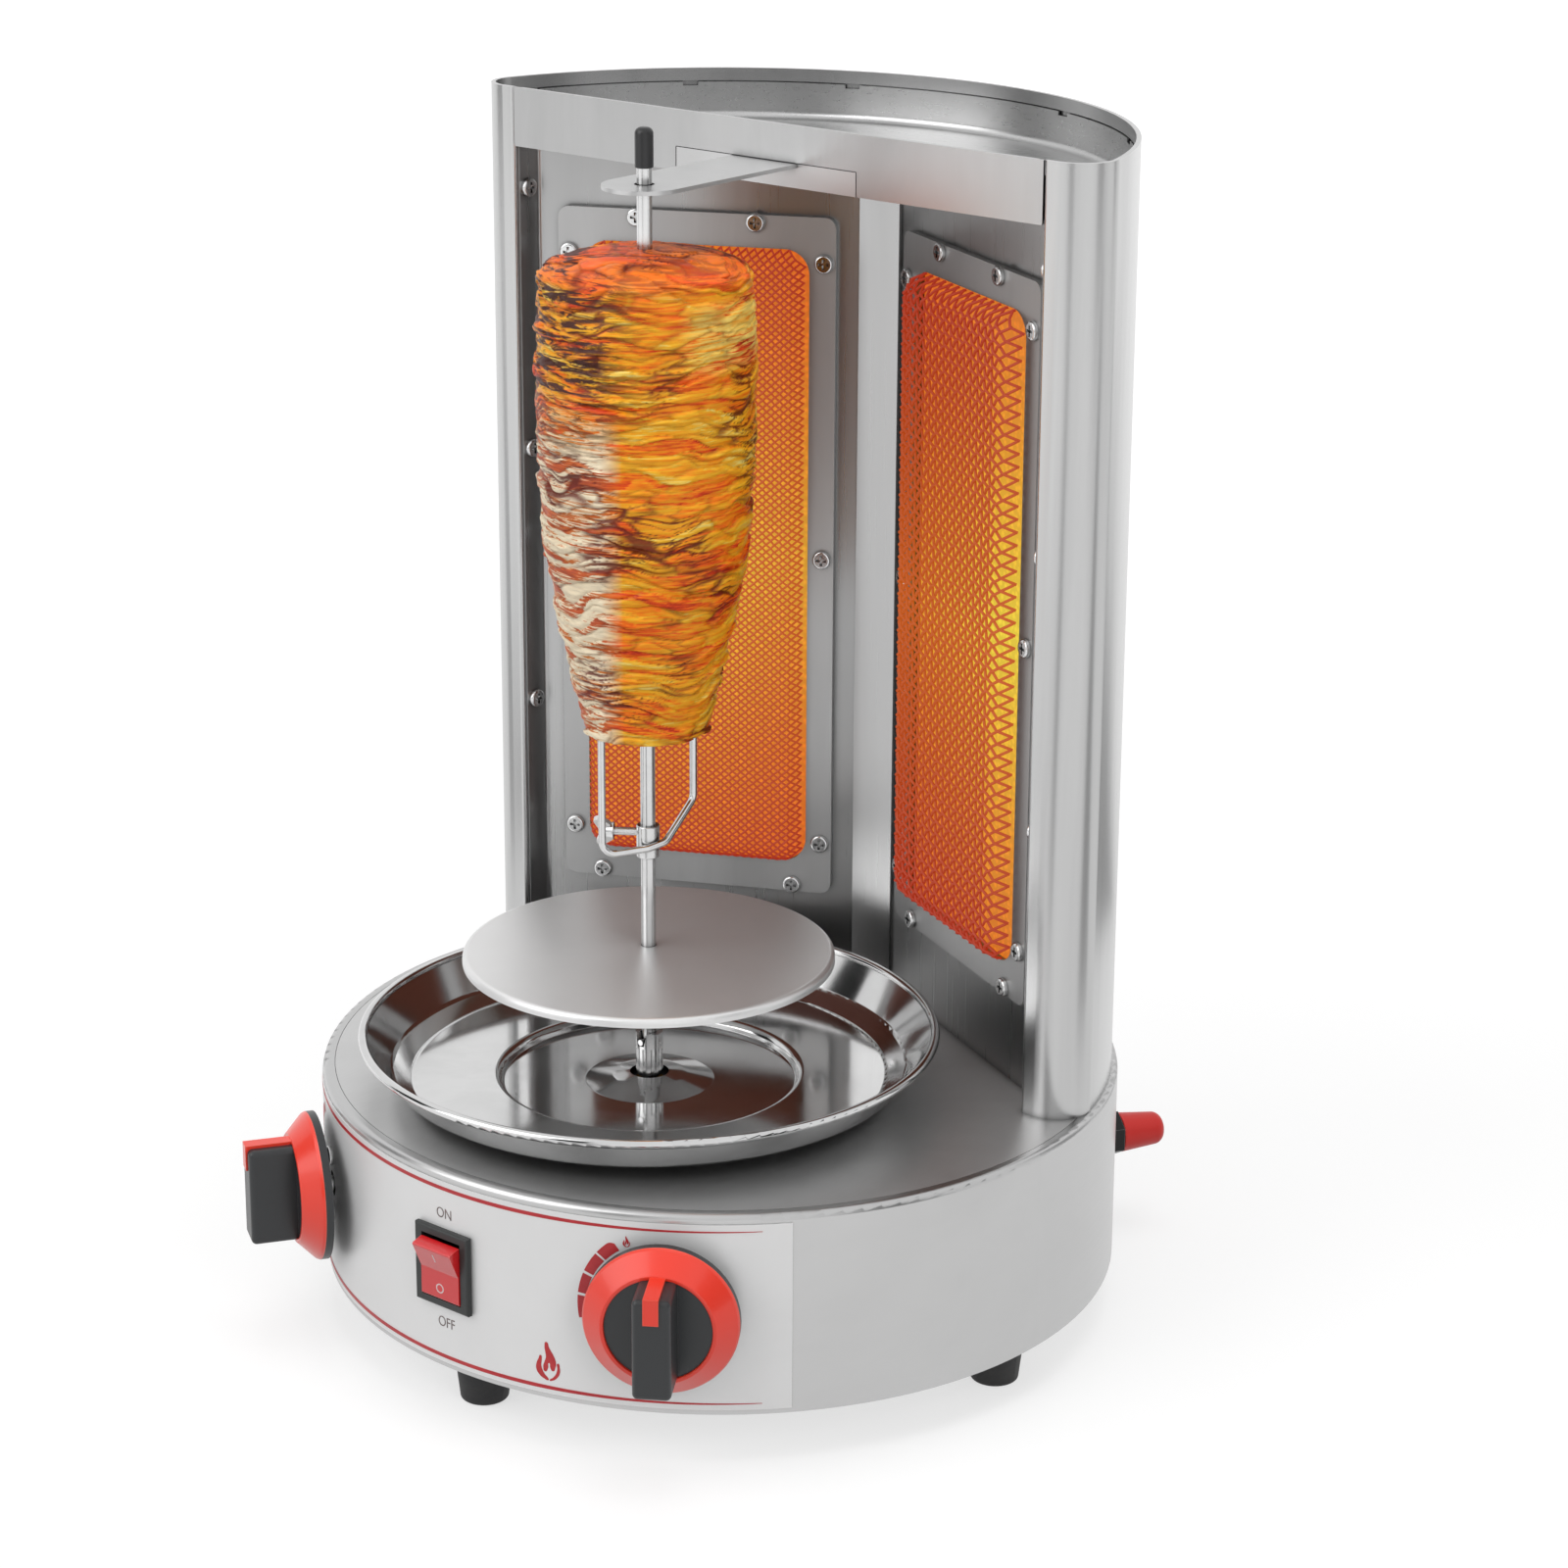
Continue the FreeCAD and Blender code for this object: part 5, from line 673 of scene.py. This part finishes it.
plaque_glow, tree, shader, place = plain_finish("plaque_glow", 0.8)
around = add_node(tree, "SeparateXYZ", {"Vector": place}).outputs
glow_colour = colour_ramp(tree, ranged(tree, around["Z"], PLAQUE_LOW, PLAQUE_HIGH), (
    (0.0, (0.86, 0.20, 0.015, 1)), (0.20, (0.95, 0.36, 0.025, 1)), (0.36, (1.0, 0.58, 0.04, 1)),
    (0.5, (1.0, 0.76, 0.06, 1)),
    (0.64, (1.0, 0.58, 0.04, 1)), (0.80, (0.95, 0.36, 0.025, 1)), (1.0, (0.86, 0.20, 0.015, 1))))
outer_share = ranged(tree, calculated(tree, "ABSOLUTE", around["X"]), 0.030, 0.072, 0.5, 1.0)
glow_colour = blended(tree, outer_share, (0.80, 0.085, 0.008, 1), glow_colour)
cells = add_node(tree, "TexVoronoi", {"Vector": place, "Scale": 420.0}).outputs["Distance"]
# What looks straight in sees the whole glow. Steel close to a plaque catches half of it, and steel further off little.
rays = add_node(tree, "LightPath", {}).outputs
mirrored_glow = ranged(tree, rays["Ray Length"], 0.012, 0.05, 0.5, 0.02)
fill_sockets(shader, {
    "Base Color": (0.13, 0.065, 0.04, 1),
    "Emission Color": scaled(tree, glow_colour, ranged(tree, cells, 0.0, 0.6, 1.0, 0.72)),
    "Emission Strength": ranged(tree, rays["Is Camera Ray"], 0.0, 1.0, mirrored_glow, 0.98)})
dress(plaque_glow, "burner_tiles")

# Wire guards
# Each guard is a diamond weave of steel wire, pressed into a low cushion and heated red by the plaques behind it.
# The two sets of wires pass over and under each other at every crossing. The left weave is the finer one.
GUARD_W, GUARD_H = 0.091, 0.252
GUARD_CROWN = 0.0114
GUARD_FOOT = 0.0006
GUARD_EDGE = 0.0085
GUARD_CORNER = 0.010
WIRE_LEAN = 0.88
WEAVE_SHARE = 0.9
PANEL_MID = (0.06825, 0.0665)
PANEL_TURN = math.atan2(0.0570, 0.1159)
GUARD_MID_Z = 0.2718
# The side, the pitch of the weave and the radius of its wire
WEAVES = (("right", 0.0056, 0.00058), ("left", 0.0034, 0.00044))

hot_wire, tree, shader, place = plain_finish("hot_wire", 0.6)
wire_height = add_node(tree, "SeparateXYZ", {"Vector": place}).outputs["Z"]
rays = add_node(tree, "LightPath", {}).outputs
fill_sockets(shader, {
    "Base Color": (0.16, 0.045, 0.025, 1),
    "Emission Color": colour_ramp(tree, ranged(tree, wire_height, PLAQUE_LOW, PLAQUE_HIGH), (
        (0.0, (0.56, 0.020, 0.006, 1)), (0.5, (0.84, 0.15, 0.012, 1)), (1.0, (0.56, 0.020, 0.006, 1)))),
    "Emission Strength": ranged(tree, rays["Is Camera Ray"], 0.0, 1.0, 0.01, 0.56)})


def inside_guard(u, v):
    """Distance inside the rounded outline of the guard."""
    du = abs(u) - (GUARD_W / 2 - GUARD_CORNER)
    dv = abs(v) - (GUARD_H / 2 - GUARD_CORNER)
    return GUARD_CORNER - math.hypot(max(du, 0), max(dv, 0)) - min(max(du, dv), 0)


def guard_height(u, v):
    """How far the cushion stands out from the panel at a place."""
    depth = min(max(inside_guard(u, v), 0), GUARD_EDGE) / GUARD_EDGE
    return GUARD_FOOT + (GUARD_CROWN - GUARD_FOOT) * math.sqrt(1 - (1 - depth) ** 2)


def woven_wires(name, leaning, pitch, wire_radius):
    """One set of the guard's wires. A grid of crossings keeps one direction of its edges, which become round wire."""
    steps = round((GUARD_W + GUARD_H / WIRE_LEAN) / 2 / pitch) + 2
    bpy.ops.mesh.primitive_grid_add(x_subdivisions=2 * steps, y_subdivisions=2 * steps, size=2.0)
    wires = bpy.context.object
    wires.name = name
    shape = bmesh.new()
    shape.from_mesh(wires.data)
    drop = []
    for edge in shape.edges:
        run = edge.verts[0].co - edge.verts[1].co
        if (abs(run.x) > abs(run.y)) == leaning:
            drop.append(edge)
    bmesh.ops.delete(shape, geom=drop, context="EDGES")
    outside = []
    for corner in shape.verts:
        first = round(corner.co.x * steps)
        second = round(corner.co.y * steps)
        u = (first + second) * pitch / 2
        v = (second - first) * pitch * WIRE_LEAN / 2
        if inside_guard(u, v) < -1e-5:
            outside.append(corner)
        weave = wire_radius * WEAVE_SHARE * (1 if (first + second) % 2 == leaning else -1)
        corner.co = (u, -guard_height(u, v) + weave, v)
    bmesh.ops.delete(shape, geom=outside, context="VERTS")
    lone = [corner for corner in shape.verts if not corner.link_edges]
    bmesh.ops.delete(shape, geom=lone, context="VERTS")
    shape.to_mesh(wires.data)
    shape.free()
    bpy.ops.object.convert(target="CURVE")
    wires = bpy.context.object
    wires.data.bevel_depth = wire_radius
    wires.data.bevel_resolution = 1
    wires.data.use_fill_caps = True
    bpy.ops.object.convert(target="MESH")
    wires = bpy.context.object
    wires.select_set(False)
    return wires


onto_panel = Matrix.Translation((*PANEL_MID, GUARD_MID_Z)) @ Matrix.Rotation(-PANEL_TURN, 4, "Z")
for side, pitch, wire_radius in WEAVES:
    rising_set = woven_wires(side + "_guard_wires", True, pitch, wire_radius)
    falling_set = woven_wires(side + "_guard_falling", False, pitch, wire_radius)
    bpy.context.view_layer.objects.active = rising_set
    rising_set.select_set(True)
    falling_set.select_set(True)
    bpy.ops.object.join()
    guard = bpy.context.object
    guard.data.transform(onto_panel)
    if side == "left":
        guard.data.transform(Matrix.Scale(-1, 4, (1, 0, 0)))
        guard.data.flip_normals()
    bpy.ops.object.shade_smooth()
    guard.select_set(False)
    guard.data.materials.clear()
    guard.data.materials.append(hot_wire)
    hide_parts(side + "_burner_mesh")
    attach(guard, "housing")

# Burner boxes
# Behind the panels each burner has a pressed box that a mixing tube feeds with gas and air.
# A strip of ceramic fibre seals the plaques in the box.
box_steel = sheet_steel("box_steel", grey(0.48), grey(0.36), (60, 60, 60), (0.4, 0.55), cloud=30.0)
dress(box_steel, "burner_boxes", "mixing_tubes", "motor_bracket")
fibre, tree, shader, place = plain_finish("gasket_fibre", 0.95)
strands = add_node(tree, "TexNoise", {"Vector": place, "Scale": 900.0}).outputs["Fac"]
fibre_colours = ((0.0, (0.55, 0.52, 0.46, 1)), (1.0, (0.82, 0.80, 0.75, 1)))
fill_sockets(shader, {"Base Color": colour_ramp(tree, strands, fibre_colours)})
dress(fibre, "burner_gaskets")

# Drip tray
# A pressed and polished dish with a rolled rim, bright enough to mirror what stands in it.
# It rests loose on the deck round the drive socket.
tray_steel = sheet_steel(
    "tray_steel", grey(0.66), grey(0.58), (30, 30, 30), (0.07, 0.13), lift=0.000004, cloud=16.0)
dress(tray_steel, "drip_tray")

# Drive and spit
# The fluted cup on the motor shaft carries the rod, a fat disc, the fork and its wing screw.
# All of it is polished or turned stainless steel, and a black cap covers the tip.
turned_steel = plated("turned_steel", grey(0.66), grey(0.85), 0.20)
dress(turned_steel, "drive_socket", "output_shaft", "disc_collar", "thumb_screw", "right_valve_stem", "left_valve_stem")
rod_steel = sheet_steel("rod_steel", grey(0.66), grey(0.56), (300, 300, 20), (0.12, 0.22), cloud=40.0)
dress(rod_steel, "spit_rod", "meat_fork")
disc_steel = sheet_steel("disc_steel", grey(0.78), grey(0.74), (30, 30, 30), (0.36, 0.42), metallic=0.72, cloud=9.0)
dress(disc_steel, "fat_disc")
cap_black = moulded("cap_black", (0.014, 0.014, 0.015, 1), (0.05, 0.05, 0.05, 1), 0.34, 700)
dress(cap_black, "tip_cap")

# Meat
# Thin slices stacked on the rod and trimmed to a cone, roasted dark in the creases and golden on the edges.
# The stack is a turned form whose surface is pushed in and out slice by slice.
SPIT_Y = -0.042
MEAT_LOW, MEAT_HIGH = 0.2402, 0.4208
MEAT_RINGS = 402
MEAT_WALL_RINGS = 352
MEAT_SIDES = 240
MEAT_RADII = (24.5, 29.8, 35.2, 39.0, 40.6, 41.1, 41.0, 39.2)   # millimetres, from the foot to the crown
MEAT_LARGEST = 0.0411
CROWN_RISE = 0.0088
MEAT_TRIM = 0.0009   # how far the relief is set back, so that it stays within the outline
THICK_SLICE = (0.030, 0.0040)   # width and thickness
THIN_SLICE = (0.018, 0.0018)
THICK_STAND, THIN_STAND = 0.0014, 0.0007
THICK_CREASE, THIN_CREASE = 0.0007, 0.0003
RAGGED = 0.00025


def meat_ring(number):
    """Radius and height of a ring of the trimmed stack, and the lean of its surface from level to upright."""
    if number < MEAT_WALL_RINGS:
        share = number / (MEAT_WALL_RINGS - 1)
        place = share * (len(MEAT_RADII) - 1)
        index = min(int(place), len(MEAT_RADII) - 2)
        part = place - index
        part = part * part * (3 - 2 * part) * 0.35 + part * 0.65
        radius = MEAT_RADII[index] * (1 - part) + MEAT_RADII[index + 1] * part
        return 0.001 * radius, MEAT_LOW + (MEAT_HIGH - CROWN_RISE - MEAT_LOW) * share, 0.0
    lean = (number - MEAT_WALL_RINGS + 1) / (MEAT_RINGS - MEAT_WALL_RINGS) * math.pi / 2 * 0.96
    return 0.001 * MEAT_RADII[-1] * math.cos(lean), MEAT_HIGH - CROWN_RISE + CROWN_RISE * math.sin(lean), lean


def cut_end(x, y, height, slice_size):
    """The slice at a place: how far its edge is, and two random shades for it."""
    wide, thick = slice_size
    gaps, middles = noise.voronoi(Vector((x / wide, y / wide, height / thick)))
    seed = middles[0].dot(Vector((12.9898, 78.233, 37.719)))
    return gaps[1] - gaps[0], math.sin(seed * 43.7) * 0.5 + 0.5, math.sin(seed * 91.3 + 2.0) * 0.5 + 0.5


def slice_relief(x, y, height):
    """How far the surface stands out at a place, how deep in a crease it is, and the tint of its slice."""
    spot = Vector((x, y, height))
    wander = noise.noise(spot * 30) * 0.0075 + noise.noise(spot * 85 + Vector((3, 1, 2))) * 0.0026
    drift = noise.noise(spot * 60 + Vector((7, 0, 4))) * 0.004
    gap, shade, stand = cut_end(x + drift, y - drift, height + wander, THICK_SLICE)
    thin_gap, thin_shade, thin_stand = cut_end(x - drift, y + drift, height + wander * 1.25 + 0.05, THIN_SLICE)
    crease = max(0.0, 1 - gap / 0.16)
    thin_crease = max(0.0, 1 - thin_gap / 0.18)
    ragged = noise.noise(Vector((x * 200, y * 200, height * 800)))
    out = THICK_STAND * (stand - 0.5) + THIN_STAND * (thin_stand - 0.5)
    out = out - THICK_CREASE * crease - THIN_CREASE * thin_crease + RAGGED * ragged
    deep = min(max((noise.noise(spot * 48 + Vector((0, 4, 9))) + 0.1) / 0.55, 0.0), 1.0)
    dark = max(crease * (0.34 + 0.66 * deep), thin_crease * (0.12 + 0.7 * deep))
    return out, min(dark, 1.0), 0.62 * shade + 0.38 * thin_shade


bpy.ops.mesh.primitive_circle_add(vertices=MEAT_SIDES, radius=0.03, fill_type="NOTHING")
meat = bpy.context.object
meat.name = "meat_slices"
shape = bmesh.new()
shape.from_mesh(meat.data)
rings = [sorted(shape.verts, key=lambda corner: math.atan2(corner.co.y, corner.co.x))]
for ring in range(1, MEAT_RINGS):
    rings.append([shape.verts.new((0, 0, 0)) for _ in range(MEAT_SIDES)])
tint = {}
for number, ring in enumerate(rings):
    radius, height, lean = meat_ring(number)
    for step, corner in enumerate(ring):
        turn = 2 * math.pi * step / MEAT_SIDES
        x, y = math.cos(turn), math.sin(turn)
        out, crease, shade = slice_relief(radius * x, radius * y, height)
        out = (out - MEAT_TRIM) * (1 - lean / math.pi)
        reach = min(radius + out * math.cos(lean), MEAT_LARGEST)
        corner.co = (reach * x, reach * y + SPIT_Y, height + out * math.sin(lean))
        tint[corner] = (crease, shade)
foot_centre = shape.verts.new((0, SPIT_Y, MEAT_LOW + 0.0004))
crown_centre = shape.verts.new((0, SPIT_Y, MEAT_HIGH - 0.0006))
tint[foot_centre] = tint[crown_centre] = (0.3, 0.4)
for step in range(MEAT_SIDES):
    following = (step + 1) % MEAT_SIDES
    for lower, upper in zip(rings, rings[1:]):
        shape.faces.new((lower[step], lower[following], upper[following], upper[step]))
    shape.faces.new((rings[0][following], rings[0][step], foot_centre))
    shape.faces.new((rings[-1][step], rings[-1][following], crown_centre))
shape.verts.index_update()
creases = [0.0] * len(shape.verts)
shades = [0.0] * len(shape.verts)
for corner, (crease, shade) in tint.items():
    creases[corner.index] = crease
    shades[corner.index] = shade
shape.to_mesh(meat.data)
shape.free()
for label, values in (("crease", creases), ("slice", shades)):
    layer = meat.data.attributes.new(label, "FLOAT", "POINT")
    layer.data.foreach_set("value", values)
bpy.ops.object.shade_smooth()
meat.select_set(False)

roast, tree, shader, place = plain_finish("roast", 0.5, coat=0.06)
crease_depth = add_node(tree, "Attribute", {}, attribute_name="crease").outputs["Fac"]
slice_shade = add_node(tree, "Attribute", {}, attribute_name="slice").outputs["Fac"]
around = add_node(tree, "SeparateXYZ", {"Vector": place}).outputs


def roast_noise(stretch, detail, distortion, offset=(0, 0, 0)):
    """Noise on Object coordinates that are stretched so that it runs along the slices."""
    mapped = add_node(tree, "Mapping", {"Vector": place, "Scale": stretch, "Location": offset}).outputs["Vector"]
    return add_node(tree, "TexNoise", {
        "Vector": mapped, "Scale": 1.0, "Detail": detail, "Roughness": 0.62, "Distortion": distortion}).outputs["Fac"]


def weighed(value, weight, rest):
    """A value times its weight, plus the rest."""
    return calculated(tree, "MULTIPLY_ADD", value, weight, rest)


def both(first, second):
    """How far two masks hold at the same place."""
    return calculated(tree, "MULTIPLY", first, second)


# Golden to deep orange: the tint of the slice plus long fine streaks and soft patches.
grain = roast_noise((42, 42, 640), 6.0, 1.6)
patches = roast_noise((26, 26, 40), 3.0, 0.4, (0, 5, 0))
tone = weighed(slice_shade, 0.44, weighed(grain, 0.95, weighed(patches, 0.5, -0.31)))
golden = colour_ramp(tree, tone, (
    (0.24, (0.30, 0.015, 0.003, 1)), (0.38, (0.78, 0.055, 0.004, 1)), (0.50, (0.98, 0.18, 0.005, 1)),
    (0.66, (1.0, 0.38, 0.010, 1)), (0.84, (1.0, 0.54, 0.025, 1)), (0.96, (1.0, 0.78, 0.20, 1))))
# Pale, less roasted slices low on the left of the stack.
across = weighed(around["X"], 0.76, weighed(around["Y"], 0.65, 0.0273))
pale_side = both(ranged(tree, across, -0.008, -0.016), ranged(tree, around["Z"], 0.374, 0.350))
pale_patch = both(pale_side, ranged(tree, weighed(slice_shade, 0.3, grain), 0.58, 0.66))
colour = blended(tree, both(pale_side, 0.55), golden, (0.36, 0.11, 0.04, 1))
colour = blended(tree, pale_patch, colour, (1.0, 0.86, 0.62, 1))
# A bright yellow spot high on the right, and a redder crown.
bright_height = both(ranged(tree, around["Z"], 0.380, 0.388), ranged(tree, around["Z"], 0.408, 0.402))
bright_spot = both(ranged(tree, across, 0.012, 0.022), bright_height)
colour = blended(tree, both(bright_spot, ranged(tree, grain, 0.40, 0.56)), colour, (1.0, 0.70, 0.16, 1))
crown = ranged(tree, weighed(patches, 0.030, around["Z"]), 0.424, 0.430)
colour = blended(tree, both(crown, 0.75), colour, (0.86, 0.095, 0.010, 1))
# Brown in the deepest creases, and char in streaks high on the left and on the crown.
colour = blended(tree, both(ranged(tree, crease_depth, 0.16, 0.74), 0.92), colour, (0.15, 0.010, 0.003, 1))
char_streaks = ranged(tree, roast_noise((44, 44, 340), 6.0, 1.4, (0, 0, 11)), 0.48, 0.57)
high_side = both(ranged(tree, across, 0.006, -0.020), ranged(tree, around["Z"], 0.345, 0.372))
char_reach = calculated(tree, "MAXIMUM", weighed(high_side, 0.85, 0.14), both(crown, 0.45))
colour = blended(tree, both(char_streaks, char_reach), colour, (0.055, 0.010, 0.006, 1))
fill_sockets(shader, {
    "Base Color": colour, "Normal": bumped(tree, grain, 0.3, 0.0006),
    "Coat Roughness": 0.22, "Specular IOR Level": 0.3})
meat.data.materials.clear()
meat.data.materials.append(roast)
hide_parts("meat_stack")
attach(meat, "spit")

# Inner works
# Gas pipes, the motor with its gearbox and bush, and the leads, all hidden in the drum.
# They are plated, cast or painted metal, and the leads have a black plastic skin.
pipe_steel = plated("pipe_steel", grey(0.55), grey(0.7), 0.35)
dress(pipe_steel, "gas_manifold")
pipe_aluminium = plated("pipe_aluminium", grey(0.72), grey(0.85), 0.32)
dress(pipe_aluminium, "feed_pipes")
gear_case = plated("gear_case", grey(0.52), grey(0.68), 0.4)
dress(gear_case, "motor_gearbox")
motor_paint = moulded("motor_paint", (0.05, 0.05, 0.055, 1), (0.14, 0.14, 0.14, 1), 0.5, 600)
dress(motor_paint, "motor_case")
bush_bronze = plated("bush_bronze", (0.46, 0.30, 0.13, 1), (0.62, 0.45, 0.22, 1), 0.4)
dress(bush_bronze, "drive_bush")
lead_skin = moulded("lead_skin", (0.03, 0.03, 0.032, 1), (0.08, 0.08, 0.08, 1), 0.5, 900)
dress(lead_skin, "wiring")
